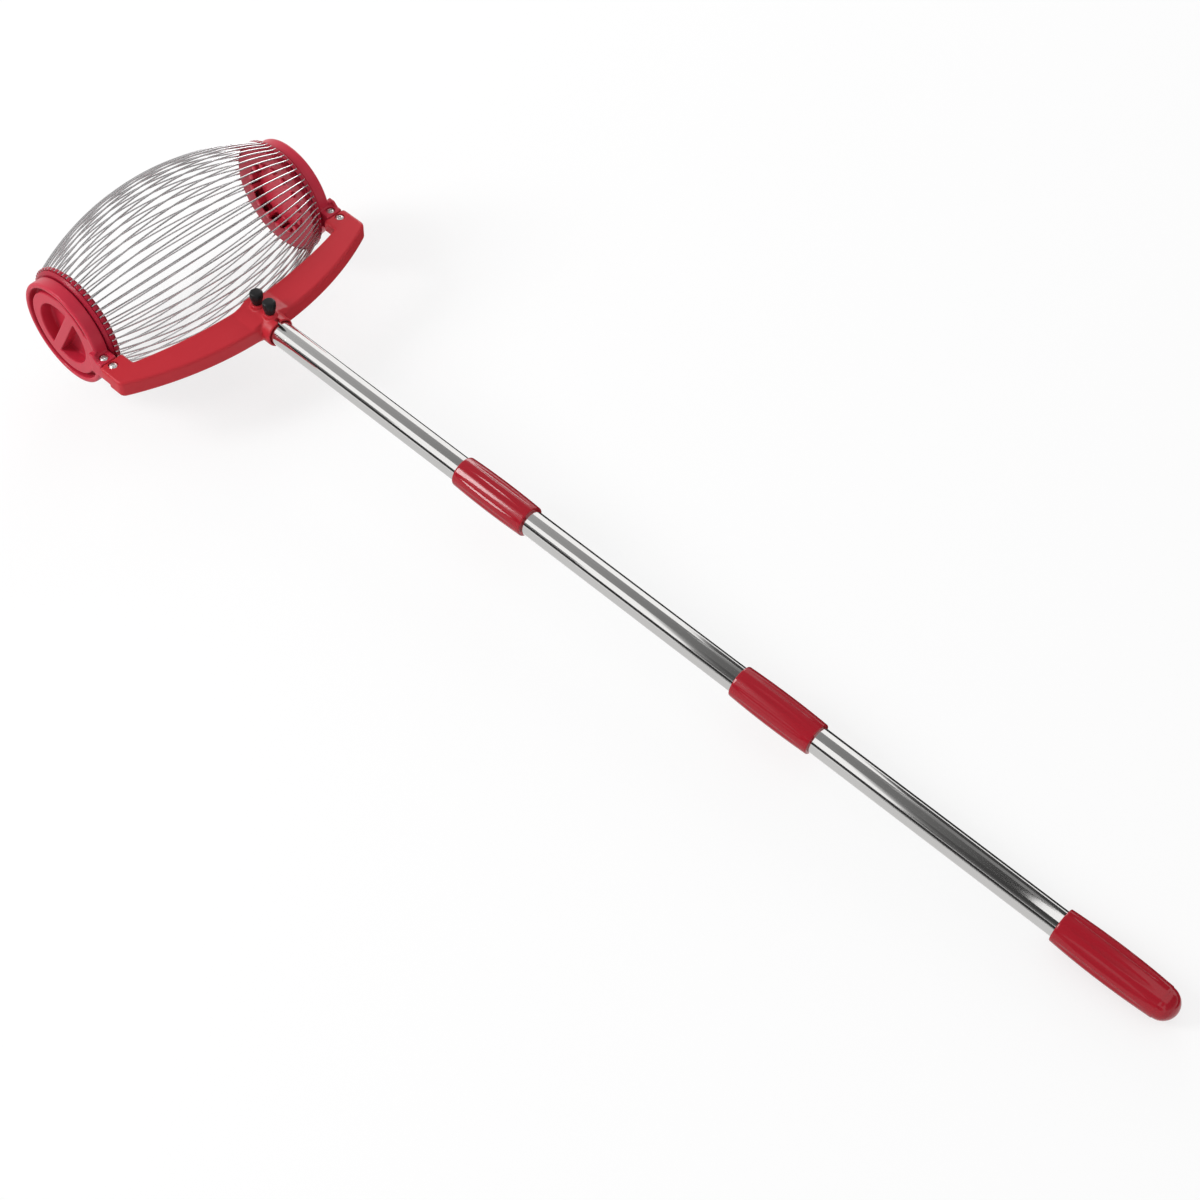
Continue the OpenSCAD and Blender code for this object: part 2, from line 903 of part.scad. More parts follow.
// A threaded plug: its stem sits in the tube and its thread in the coupling before it
module plug(y) {
    color(white_plastic)
        laid()
            along_pole(y + thread_y)
                difference() {
                    union() {
                        cylinder(d = plug_d, h = plug_l);
                        translate([0, 0, plug_l + lap_gap])
                            cylinder(r = tube_r - tube_wall - fit_gap, h = plug_stem);
                        translate([0, 0, plug_l - over])
                            cylinder(d = plug_d, h = 2 * over);
                    }
                    translate([0, 0, -over])
                        cylinder(d = plug_bore, h = plug_l + plug_stem + 2 * over);
                }
}

module middle_plug() {
    plug(lower_coupling_y);
}

module upper_plug() {
    plug(upper_coupling_y);
}

module hand_grip() {
    color(red)
        laid()
            along_pole(grip_y)
                difference() {
                    union() {
                        difference() {
                            barrel(grip_r, grip_bow, grip_swell);
                            flutes(grip_start_d / 2 + flute_rise, -over, grip_swell + over);
                        }
                        cylinder(r = grip_end_r, h = grip_l - grip_end_r);
                        translate([0, 0, grip_l - grip_end_r])
                            sphere(grip_end_r);
                    }
                    translate([0, 0, -over])
                        cylinder(r = tube_r + fit_gap, h = grip_hold + lap_gap + over);
                }
}

yoke();
left_holder();
right_holder();
holder_screws();
holder_nuts();
left_hub();
right_hub();
left_wire_ring();
right_wire_ring();
left_ring_screws();
right_ring_screws();
cage_wires();
front_knob();
rear_knob();
front_stud();
rear_stud();
clamp_inserts();
lower_tube();
lower_coupling();
middle_plug();
middle_tube();
upper_coupling();
upper_plug();
upper_tube();
hand_grip();
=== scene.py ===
"""Dresses the nut gatherer: moulded red plastic, springy basket wires, polished pole tubes and black knobs.

Every shape is worked out in millimetres in the tool's own frame: the roller's centre is the origin, X runs along
the roller, the pole runs towards -Y and Z is up. One matrix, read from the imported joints, lays the tool down.
"""
import json
import logging
import math
from dataclasses import dataclass, field
from enum import Enum
from typing import Any, Callable, Iterable, Sequence

import bmesh
import bpy
from mathutils import Matrix, Quaternion, Vector


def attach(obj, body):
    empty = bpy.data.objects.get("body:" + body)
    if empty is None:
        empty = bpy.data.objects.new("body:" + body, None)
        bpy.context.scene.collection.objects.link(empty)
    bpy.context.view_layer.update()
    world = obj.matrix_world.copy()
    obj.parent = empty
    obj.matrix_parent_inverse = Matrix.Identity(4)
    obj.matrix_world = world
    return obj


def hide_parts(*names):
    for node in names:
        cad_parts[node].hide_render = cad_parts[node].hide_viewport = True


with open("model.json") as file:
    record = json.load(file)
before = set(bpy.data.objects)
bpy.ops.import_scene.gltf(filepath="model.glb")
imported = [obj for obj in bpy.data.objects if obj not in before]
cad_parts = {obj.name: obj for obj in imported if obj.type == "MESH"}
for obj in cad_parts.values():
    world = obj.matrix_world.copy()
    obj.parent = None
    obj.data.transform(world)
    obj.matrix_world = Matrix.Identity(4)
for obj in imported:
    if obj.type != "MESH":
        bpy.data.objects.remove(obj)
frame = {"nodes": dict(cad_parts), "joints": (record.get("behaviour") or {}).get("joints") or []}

logging.basicConfig(level=logging.INFO, format="%(message)s")
LOG = logging.getLogger("nut_gatherer")

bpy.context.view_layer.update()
MM = 0.001
FULL_TURN = 2.0 * math.pi
QUARTER = math.pi / 2
MERGE = 0.0005
BLOCK_STEPS = 3
PRISM_STEPS = 4
SEAT_R = 4.1
SEAT_DEPTH = 2.4
SEAT_REACH = 8.0
SEAT_SIDES = 40
SAME_ANGLE = 1e-6
NOISE_MEAN = 0.5
WHITE = (1.0, 1.0, 1.0, 1.0)
SOCKETS = {int: "NodeSocketInt", float: "NodeSocketFloat", bpy.types.Object: "NodeSocketObject"}
Point = tuple[float, float]
Triple = tuple[float, float, float]


class End(Enum):
    """The two ends of the roller."""

    LEFT = -1
    RIGHT = 1

    @property
    def side(self) -> str:
        """The end's name in the names of pieces."""
        return self.name.lower()


class Axis(Enum):
    """The direction that a turned shape runs along, as the turn that brings +Z to it."""

    ROLLER = ("Y", QUARTER)
    POLE = ("X", QUARTER)
    UP = ("X", 0.0)

    def matrix(self) -> Matrix:
        """Turns a shape made along +Z to run along this axis."""
        letter, angle = self.value
        return Matrix.Rotation(angle, 4, letter)


def joint(name: str) -> dict[str, Any]:
    """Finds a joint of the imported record.

    Args:
        name: The joint's name.

    Returns:
        The joint's entry in the record.
    """
    return next(entry for entry in frame["joints"] if entry["name"] == name)


@dataclass(frozen=True)
class ToolFrame:
    """Where the tool lies: the roller's centre and how far the pole tips down towards its grip."""

    centre: Vector
    tip: float

    @classmethod
    def from_record(cls) -> "ToolFrame":
        """Reads the frame from the basket's axle and the pole's slide."""
        out = joint("pole_slide")["axis"]
        return cls(Vector(joint("basket_spin")["pos_m"]), math.atan2(-out[2], -out[1]))

    @property
    def matrix(self) -> Matrix:
        """From millimetres in the tool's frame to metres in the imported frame."""
        laid = Matrix.Translation(self.centre) @ Matrix.Rotation(self.tip, 4, "X")
        return laid @ Matrix.Scale(MM, 4)


TOOL = ToolFrame.from_record()


# Shader and geometry nodes


class Value:
    """A number from a node's socket: its operators add Math nodes to the tree."""

    def __init__(self, tree: bpy.types.NodeTree, socket: bpy.types.NodeSocket) -> None:
        """Wraps an output socket of a tree."""
        self.tree = tree
        self.socket = socket

    def math(self, operation: str, *others: Any) -> "Value":
        """Adds a Math node.

        Args:
            operation: The Math node's operation.
            others: The second and third operands, values or numbers.

        Returns:
            The result.
        """
        made = self.tree.nodes.new("ShaderNodeMath")
        made.operation = operation
        for place, operand in enumerate((self, *others)):
            plug(self.tree, made.inputs[place], operand)
        return Value(self.tree, made.outputs[0])

    def __add__(self, other: Any) -> "Value":
        """Sum."""
        return self.math("ADD", other)

    __radd__ = __add__

    def __mul__(self, other: Any) -> "Value":
        """Product."""
        return self.math("MULTIPLY", other)

    def __sub__(self, other: Any) -> "Value":
        """Difference."""
        return self.math("SUBTRACT", other)

    def __rsub__(self, other: Any) -> "Value":
        """Difference from a number."""
        return (self * -1.0) + other

    def clamped(self) -> "Value":
        """The value held between 0 and 1."""
        return self.math("MAXIMUM", 0.0).math("MINIMUM", 1.0)


def plug(tree: bpy.types.NodeTree, socket: bpy.types.NodeSocket, value: Any) -> None:
    """Gives a node's input a link or a plain value.

    Args:
        tree: The tree that holds the node.
        socket: The input.
        value: A wrapped value, an output socket or a plain value.
    """
    if isinstance(value, Value):
        value = value.socket
    if isinstance(value, bpy.types.NodeSocket):
        tree.links.new(value, socket)
    else:
        socket.default_value = value


def add_node(tree: bpy.types.NodeTree, kind: str, settings: dict[str, Any], **inputs: Any) -> bpy.types.Node:
    """Adds a node, sets it up and fills its inputs.

    Args:
        tree: The tree.
        kind: The node's type.
        settings: Properties of the node, set before its inputs.
        inputs: Values by input name, with spaces as underscores.

    Returns:
        The node.
    """
    made = tree.nodes.new(kind)
    for name, value in settings.items():
        setattr(made, name, value)
    for name, value in inputs.items():
        plug(tree, made.inputs[name.replace("_", " ")], value)
    return made


def bare_tree(owner: bpy.types.Material | bpy.types.World) -> bpy.types.NodeTree:
    """Gives a new material or world an empty node tree.

    Args:
        owner: The material or world.

    Returns:
        The tree.
    """
    owner.use_nodes = True
    owner.node_tree.nodes.clear()
    return owner.node_tree


def end_tree(tree: bpy.types.NodeTree, shader: bpy.types.Node, kind: str = "ShaderNodeOutputMaterial") -> None:
    """Links a shader to a new output of its tree."""
    tree.links.new(shader.outputs[0], tree.nodes.new(kind).inputs["Surface"])


class Shader:
    """One material under construction, with a Principled shader at its end."""

    def __init__(self, name: str) -> None:
        """Starts an empty material.

        Args:
            name: The material's name.
        """
        self.material = bpy.data.materials.new(name)
        self.tree = bare_tree(self.material)
        self.surface = self.tree.nodes.new("ShaderNodeBsdfPrincipled")
        end_tree(self.tree, self.surface)
        self.place = self.tree.nodes.new("ShaderNodeTexCoord").outputs["Object"]

    def noise(self, scale: float, detail: float, place: Any = None) -> Value:
        """Adds a noise pattern.

        Args:
            scale: Waves per metre.
            detail: Octaves.
            place: Coordinates other than the object's own.

        Returns:
            The noise, about 0 to 1.
        """
        source = self.place if place is None else place
        made = add_node(self.tree, "ShaderNodeTexNoise", {}, Vector=source, Scale=scale, Detail=detail)
        return Value(self.tree, made.outputs["Fac"])

    def blend(self, amount: Value, first: Sequence[float], second: Sequence[float]) -> bpy.types.NodeSocket:
        """Mixes two colours.

        Args:
            amount: How much of the second.
            first: Linear red, green and blue.
            second: Linear red, green and blue.

        Returns:
            The mixed colour.
        """
        made = self.tree.nodes.new("ShaderNodeMix")
        made.data_type = "RGBA"
        # A Mix node keeps its colours in sockets 6 and 7, and their mix in output 2
        plug(self.tree, made.inputs[0], amount)
        made.inputs[6].default_value = (*first, 1.0)
        made.inputs[7].default_value = (*second, 1.0)
        return made.outputs[2]

    def bump(self, height: Value, strength: float, distance: float) -> None:
        """Raises the surface by a pattern.

        Args:
            height: The pattern.
            strength: How much of it shows.
            distance: Its height in metres.
        """
        made = add_node(self.tree, "ShaderNodeBump", {}, Strength=strength, Distance=distance, Height=height)
        self.tree.links.new(made.outputs["Normal"], self.surface.inputs["Normal"])

    def set(self, **inputs: Any) -> None:
        """Fills inputs of the Principled shader, named with underscores for spaces."""
        for name, value in inputs.items():
            plug(self.tree, self.surface.inputs[name.replace("_", " ")], value)


@dataclass(frozen=True)
class MouldedPlastic:
    """Injection-moulded plastic: even colour, faint flow marks and a fine moulded skin."""

    name: str
    colour: Triple
    shade: Triple
    gloss: float
    shine: float
    grain_height: float = 0.00002
    grain: float = 900.0
    flow: float = 18.0
    flow_share: float = 0.08
    grain_share: float = 0.05
    grain_bump: float = 0.25

    def build(self) -> bpy.types.Material:
        """Makes the material.

        Returns:
            The material.
        """
        shader = Shader(self.name)
        flow, skin = shader.noise(self.flow, 4.0), shader.noise(self.grain, 2.0)
        roughness = self.gloss + (flow - NOISE_MEAN) * self.flow_share + (skin - NOISE_MEAN) * self.grain_share
        shader.set(Base_Color=shader.blend(flow.clamped(), self.colour, self.shade), Roughness=roughness.clamped(),
                   Specular_IOR_Level=self.shine, IOR=1.5)
        shader.bump(skin, self.grain_bump, self.grain_height)
        return shader.material


@dataclass(frozen=True)
class DrawnSteel:
    """Steel drawn to wire or tube: fine lines along its length and slight clouding."""

    name: str
    colour: Triple
    shade: Triple
    roughness: float
    lines: Triple
    line_height: float = 0.000004
    tip: float = 0.0
    cloud: float = 22.0
    cloud_share: float = 0.06
    line_share: float = 0.05
    line_bump: float = 0.15

    def build(self) -> bpy.types.Material:
        """Makes the material.

        Returns:
            The material.
        """
        shader = Shader(self.name)
        drawn = add_node(shader.tree, "ShaderNodeMapping", {}, Vector=shader.place,
                         Rotation=(-self.tip, 0.0, 0.0), Scale=self.lines)
        along, cloud = shader.noise(1.0, 2.0, drawn.outputs["Vector"]), shader.noise(self.cloud, 3.0)
        uneven = (cloud - NOISE_MEAN) * self.cloud_share + (along - NOISE_MEAN) * self.line_share
        colour = shader.blend((along * 0.5 + cloud * 0.5).clamped(), self.colour, self.shade)
        shader.set(Base_Color=colour, Roughness=(self.roughness + uneven).clamped(), Metallic=1.0)
        shader.bump(along, self.line_bump, self.line_height)
        return shader.material


class Finishes:
    """All the finishes of the tool, made once."""

    def __init__(self) -> None:
        """Makes every material."""
        self.yoke = MouldedPlastic("yoke_red", (0.48, 0.021, 0.032), (0.44, 0.018, 0.028), 0.36, 0.2).build()
        self.holder = MouldedPlastic("holder_red", (0.49, 0.023, 0.048), (0.45, 0.019, 0.042), 0.32, 0.25).build()
        self.hub = MouldedPlastic("hub_red", (0.34, 0.011, 0.030), (0.30, 0.009, 0.026), 0.34, 0.2).build()
        self.fitting = MouldedPlastic(
            "fitting_red", (0.33, 0.010, 0.020), (0.30, 0.008, 0.017), 0.14, 0.4, 0.000002).build()
        self.knob = MouldedPlastic("knob_black", (0.009, 0.009, 0.010), (0.013, 0.013, 0.014), 0.42, 0.25).build()
        self.plug = MouldedPlastic("plug_white", (0.72, 0.71, 0.68), (0.66, 0.65, 0.62), 0.45, 0.4).build()
        self.tube = DrawnSteel("tube_polished", (0.89, 0.878, 0.866), (0.83, 0.818, 0.807), 0.10,
                               (900.0, 6.0, 900.0), 0.0000001, TOOL.tip).build()
        self.wire = DrawnSteel("wire_drawn", (0.78, 0.765, 0.77), (0.70, 0.685, 0.69), 0.12,
                               (30.0, 700.0, 700.0), 0.0000005).build()
        self.screw = DrawnSteel("screw_plated", (0.93, 0.92, 0.90), (0.86, 0.85, 0.84), 0.42,
                                (400.0, 400.0, 400.0)).build()
        self.brass = DrawnSteel("insert_brass", (0.62, 0.44, 0.17), (0.52, 0.36, 0.13), 0.3,
                                (500.0, 500.0, 500.0)).build()


# Shapes in the tool's frame, in millimetres


@dataclass
class Solid:
    """A shape as points and faces, in millimetres."""

    points: list[Vector] = field(default_factory=list)
    faces: list[tuple[int, ...]] = field(default_factory=list)

    @classmethod
    def from_mesh(cls, mesh: bpy.types.Mesh) -> "Solid":
        """Takes the points and faces of a mesh."""
        return cls([v.co.copy() for v in mesh.vertices], [tuple(p.vertices) for p in mesh.polygons])

    def add(self, other: "Solid", matrix: Matrix | None = None) -> "Solid":
        """Adds another shape to this one.

        Args:
            other: The shape to add.
            matrix: Where it goes.

        Returns:
            This shape.
        """
        start = len(self.points)
        self.points += [matrix @ p if matrix else p.copy() for p in other.points]
        self.faces += [tuple(start + index for index in face) for face in other.faces]
        return self

    def mesh(self, name: str) -> bpy.types.Mesh:
        """Makes a Blender mesh with its doubles merged and its faces turned outwards.

        Args:
            name: The mesh's name.

        Returns:
            The mesh.
        """
        mesh = bpy.data.meshes.new(name)
        mesh.from_pydata([tuple(p) for p in self.points], [], self.faces)
        work = bmesh.new()
        work.from_mesh(mesh)
        bmesh.ops.remove_doubles(work, verts=work.verts, dist=MERGE)
        bmesh.ops.recalc_face_normals(work, faces=work.faces)
        work.to_mesh(mesh)
        work.free()
        return mesh


def rounded(corners: Sequence[Triple], steps: int = 5, closed: bool = True) -> list[Point]:
    """Rounds the corners of an outline.

    Args:
        corners: Each corner and its radius.
        steps: Points on each rounded corner.
        closed: Whether the last corner joins the first.

    Returns:
        The outline's points.
    """
    count = len(corners)
    outline: list[Point] = []
    for i, (x, y, radius) in enumerate(corners):
        here = Vector((x, y))
        if radius <= 0.0 or (not closed and i in (0, count - 1)):
            outline.append((x, y))
            continue
        before = (Vector(corners[i - 1][:2]) - here).normalized()
        after = (Vector(corners[(i + 1) % count][:2]) - here).normalized()
        half = before.angle(after) / 2
        reach = radius / math.tan(half)
        centre = here + (before + after).normalized() * (radius / math.sin(half))
        start = here + before * reach - centre
        end = here + after * reach - centre
        for k in range(steps + 1):
            outline.append(tuple(centre + start.slerp(end, k / steps).normalized() * radius))
    return outline


def turned(profile: Sequence[Point], axis: Axis, sides: int, start: float = 0.0, sweep: float = FULL_TURN,
           shape: Callable[[float, float, float], Point] | None = None) -> Solid:
    """Turns a closed profile about an axis.

    Args:
        profile: Points as distance along the axis and radius, as a closed loop.
        axis: The axis.
        sides: Steps round the axis.
        start: Angle of the first step.
        sweep: Angle of the whole turn.
        shape: Changes a point, given its angle, its distance along the axis and its radius.

    Returns:
        The turned solid, with flat ends where the turn isn't full.
    """
    full = abs(sweep - FULL_TURN) < SAME_ANGLE
    rows = sides if full else sides + 1
    count = len(profile)
    matrix = axis.matrix()
    made = Solid()
    for i in range(rows):
        angle = start + sweep * i / sides
        for along, radius in profile:
            if shape:
                along, radius = shape(angle, along, radius)
            made.points.append(matrix @ Vector((radius * math.cos(angle), radius * math.sin(angle), along)))
    for i in range(sides):
        low, high = i * count, ((i + 1) % rows) * count
        for k in range(count):
            step = (k + 1) % count
            made.faces.append((low + k, low + step, high + step, high + k))
    if not full:
        made.faces.append(tuple(range(count)))
        made.faces.append(tuple(range(sides * count, (sides + 1) * count))[::-1])
    return made


def block(low: Sequence[float], high: Sequence[float], radius: float = 0.0) -> Solid:
    """A box with rounded edges.

    Args:
        low: Lowest corner.
        high: Highest corner.
        radius: Radius of the edges.

    Returns:
        The box.
    """
    work = bmesh.new()
    bmesh.ops.create_cube(work, size=1.0)
    size = Vector(high) - Vector(low)
    middle = (Vector(high) + Vector(low)) / 2
    for vert in work.verts:
        vert.co = Vector(a * b for a, b in zip(vert.co, size)) + middle
    if radius > 0.0:
        bmesh.ops.bevel(
            work, geom=work.edges[:], offset=radius, segments=BLOCK_STEPS, profile=0.5, affect="EDGES")
    work.verts.index_update()
    made = Solid([v.co.copy() for v in work.verts], [tuple(v.index for v in f.verts) for f in work.faces])
    work.free()
    return made


def spread(low: float, high: float, steps: int) -> list[float]:
    """Evenly spaced numbers from the first to the second."""
    return [low + (high - low) * i / steps for i in range(steps + 1)]


def prism(outline: Sequence[Point], low: float, high: float, edge: float) -> Solid:
    """An upright prism whose top and bottom edges are rounded.

    Args:
        outline: The outline seen from above, counter-clockwise.
        low: Height of its underside.
        high: Height of its top.
        edge: Radius of its edges.

    Returns:
        The prism.
    """
    count = len(outline)
    flat = [Vector(p) for p in outline]
    inward = []
    for i in range(count):
        run = (flat[(i + 1) % count] - flat[i]).normalized() + (flat[i] - flat[i - 1]).normalized()
        inward.append(Vector((-run.y, run.x)).normalized())
    levels = [(low + edge * (1 - math.sin(turn)), edge * (1 - math.cos(turn)))
              for turn in spread(QUARTER, 0.0, PRISM_STEPS)]
    levels += [(high - (z - low), inset) for z, inset in reversed(levels)]
    made = Solid()
    for z, inset in levels:
        made.points += [Vector((*(p + n * inset), z)) for p, n in zip(flat, inward)]
    last = (len(levels) - 1) * count
    for row in range(0, last, count):
        for i in range(count):
            step = (i + 1) % count
            made.faces.append((row + i, row + step, row + count + step, row + count + i))
    made.faces.append(tuple(range(count))[::-1])
    made.faces.append(tuple(range(last, last + count)))
    return made


def screw_seat(top: float, x: float, y: float) -> Solid:
    """The cutter for a screw head's round recess.

    Args:
        top: Height of the face that the recess is in.
        x: Place along the roller.
        y: Distance from the roller, towards the pole.

    Returns:
        The cutter.
    """
    low = top - SEAT_DEPTH
    high = low + SEAT_REACH
    profile = [(low, 0.0), (low, SEAT_R), (high, SEAT_R), (high, 0.0)]
    return Solid().add(turned(profile, Axis.UP, SEAT_SIDES), Matrix.Translation((x, -y, 0.0)))


def evaluated(obj: bpy.types.Object) -> bpy.types.Mesh:
    """Turns an object with its modifiers into a plain mesh, and removes the object.

    Args:
        obj: The object.

    Returns:
        The mesh.
    """
    bpy.context.view_layer.update()
    mesh = bpy.data.meshes.new_from_object(obj.evaluated_get(bpy.context.evaluated_depsgraph_get()))
    bpy.data.objects.remove(obj)
    return mesh


def scratch_object(name: str, mesh: bpy.types.Mesh) -> bpy.types.Object:
    """Links a mesh into the scene as a working object.

    Args:
        name: The object's name.
        mesh: Its mesh.

    Returns:
        The object.
    """
    obj = bpy.data.objects.new(name, mesh)
    bpy.context.scene.collection.objects.link(obj)
    return obj


def drilled(obj: bpy.types.Object, cut: Solid, crossed: bool = False) -> bpy.types.Mesh:
    """Cuts a solid out of a working object, which is used up.

    Args:
        obj: The object.
        cut: What is cut out.
        crossed: Whether the cut runs through itself.

    Returns:
        What is left.
    """
    cutter = scratch_object(obj.name + "_cut", cut.mesh(obj.name + "_cut"))
    drill = obj.modifiers.new("drill", "BOOLEAN")
    drill.operation = "DIFFERENCE"
    drill.object = cutter
    drill.use_self = crossed
    mesh = evaluated(obj)
    bpy.data.objects.remove(cutter)
    return mesh


@dataclass(frozen=True)
class Mould:
    """Melts overlapping solids into one moulding with soft fillets."""

    voxel: float
    passes: int
    pull: float = 0.5

    def cast(self, name: str, solid: Solid, cut: Solid) -> bpy.types.Mesh:
        """Makes one skin from overlapping solids.

        Args:
            name: The mesh's name.
            solid: The overlapping solids.
            cut: What is cut out of the moulding afterwards.

        Returns:
            The moulding.
        """
        obj = scratch_object(name, solid.mesh(name))
        melt = obj.modifiers.new("melt", "REMESH")
        melt.mode = "VOXEL"
        melt.voxel_size = self.voxel
        melt.use_smooth_shade = True
        ease = obj.modifiers.new("ease", "SMOOTH")
        ease.factor = self.pull
        ease.iterations = self.passes
        return drilled(obj, cut)


class CopyTree:
    """A geometry tree that ends in Realize Instances and Set Material."""

    def __init__(self, name: str, values: dict[str, Any]) -> None:
        """Starts a tree.

        Args:
            name: The tree's name.
            values: The tree's inputs by name.
        """
        self.tree = bpy.data.node_groups.new(name, "GeometryNodeTree")
        self.values = {}
        face = self.tree.interface
        face.new_socket("Geometry", in_out="INPUT", socket_type="NodeSocketGeometry")
        for label, value in values.items():
            kind = next(socket for plain, socket in SOCKETS.items() if isinstance(value, plain))
            self.values[face.new_socket(label, in_out="INPUT", socket_type=kind).identifier] = value
        face.new_socket("Geometry", in_out="OUTPUT", socket_type="NodeSocketGeometry")
        self.source = self.tree.nodes.new("NodeGroupInput")

    def input(self, name: str) -> Value:
        """A named input of the tree."""
        return Value(self.tree, self.source.outputs[name])

    def node(self, kind: str, settings: dict[str, Any] | None = None, **inputs: Any) -> bpy.types.Node:
        """Adds a node to the tree."""
        return add_node(self.tree, kind, settings or {}, **inputs)

    def index(self) -> Value:
        """The number of each copy."""
        return Value(self.tree, self.node("GeometryNodeInputIndex").outputs[0])

    def close(self, points: Any, piece: Any, material: bpy.types.Material, **inputs: Any) -> None:
        """Ends the tree with a copy of a piece on each point.

        Args:
            points: The points.
            piece: The piece.
            material: Its finish.
            inputs: Other inputs of the node that copies it.
        """
        made = self.node("GeometryNodeInstanceOnPoints", Points=points, Instance=piece, **inputs)
        real = self.node("GeometryNodeRealizeInstances", Geometry=made.outputs[0])
        smooth = self.node("GeometryNodeSetShadeSmooth", Geometry=real.outputs[0])
        dressed = self.node("GeometryNodeSetMaterial", Geometry=smooth.outputs[0], Material=material)
        output = self.tree.nodes.new("NodeGroupOutput")
        self.tree.links.new(dressed.outputs[0], output.inputs[0])

    def close_ring(self, piece: Any, material: bpy.types.Material, sway: Any = 0.0) -> None:
        """Ends the tree with copies round the roller's axis, from its inputs Count and Phase.

        Args:
            piece: The piece, at the top of the roller.
            material: Its finish.
            sway: How far each copy's angle is off.
        """
        count = self.input("Count")
        places = self.node("GeometryNodeMeshLine", Count=count, Offset=(0.0, 0.0, 0.0))
        turn = self.index() * (count.math("POWER", -1.0) * FULL_TURN) + self.input("Phase") + sway
        spun = self.node("ShaderNodeCombineXYZ", X=turn)
        self.close(places.outputs[0], piece, material, Rotation=spun.outputs[0])

    def run(self, base: bpy.types.Mesh) -> bpy.types.Mesh:
        """Evaluates the tree on a mesh.

        Args:
            base: The mesh that the modifier sits on.

        Returns:
            The result as a plain mesh.
        """
        obj = scratch_object(self.tree.name, base)
        modifier = obj.modifiers.new(self.tree.name, "NODES")
        modifier.node_group = self.tree
        for identifier, value in self.values.items():
            modifier[identifier] = value
        return evaluated(obj)


def copies_round(name: str, piece: Solid, count: int, phase: float, material: bpy.types.Material) -> bpy.types.Mesh:
    """Copies a piece round the roller's axis.

    Args:
        name: The tree's name.
        piece: The piece, at the top of the roller.
        count: How many.
        phase: Angle of the first.
        material: The finish.

    Returns:
        The ring of pieces.
    """
    tree = CopyTree(name, {"Count": count, "Phase": phase})
    tree.close_ring(tree.source.outputs["Geometry"], material)
    return tree.run(piece.mesh(name))


def copies_at(name: str, piece: Solid, places: Iterable[Vector], material: bpy.types.Material) -> bpy.types.Mesh:
    """Copies a piece to each of several places.

    Args:
        name: The tree's name.
        piece: The piece, at the origin.
        places: Where the copies go.
        material: The finish.

    Returns:
        The copies.
    """
    pattern = scratch_object(name + "_pattern", piece.mesh(name + "_pattern"))
    tree = CopyTree(name, {"Piece": pattern})
    shape = tree.node("GeometryNodeObjectInfo", Object=tree.input("Piece"))
    tree.close(tree.source.outputs["Geometry"], shape.outputs["Geometry"], material)
    points = bpy.data.meshes.new(name)
    points.from_pydata([tuple(p) for p in places], [], [])
    mesh = tree.run(points)
    bpy.data.objects.remove(pattern)
    return mesh


def joined(name: str, end: End, *meshes: bpy.types.Mesh) -> bpy.types.Mesh:
    """Joins meshes of a right-hand piece into one, mirrored for the left end.

    Args:
        name: The joined mesh's name.
        end: Which end it is for.
        meshes: The meshes.

    Returns:
        The joined mesh.
    """
    work = bmesh.new()
    for mesh in meshes:
        work.from_mesh(mesh)
    if end is End.LEFT:
        bmesh.ops.scale(work, vec=(-1.0, 1.0, 1.0), verts=work.verts)
        bmesh.ops.reverse_faces(work, faces=work.faces)
    made = bpy.data.meshes.new(name)
    work.to_mesh(made)
    work.free()
    return made


def show(node: str, mesh: bpy.types.Mesh, body: str, material: bpy.types.Material,
         sharp: float = 40.0) -> None:
    """Lays a finished shape down as the piece that stands for a node.

    Args:
        node: The node.
        mesh: The shape in the tool's frame, in millimetres.
        body: The body that it moves with.
        material: Its finish.
        sharp: Edges bent by more than this many degrees stay sharp.
    """
    name = f"{node}_look"
    mesh.name = name
    mesh.transform(TOOL.matrix)
    mesh.polygons.foreach_set("use_smooth", [True] * len(mesh.polygons))
    mesh.set_sharp_from_angle(angle=math.radians(sharp))
    paint(mesh, material)
    piece = scratch_object(name, mesh)
    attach(piece, body)
    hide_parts(node)
    LOG.info("%s: %d faces on %s", name, len(mesh.polygons), body)


def paint(mesh: bpy.types.Mesh, material: bpy.types.Material) -> None:
    """Gives a whole mesh one finish."""
    mesh.materials.clear()
    mesh.materials.append(material)


def repaint(material: bpy.types.Material, *nodes: str) -> None:
    """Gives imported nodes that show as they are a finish.

    Args:
        material: The finish.
        nodes: The nodes.
    """
    for node in nodes:
        paint(frame["nodes"][node].data, material)
        LOG.info("%s: repainted", node)


# The tool


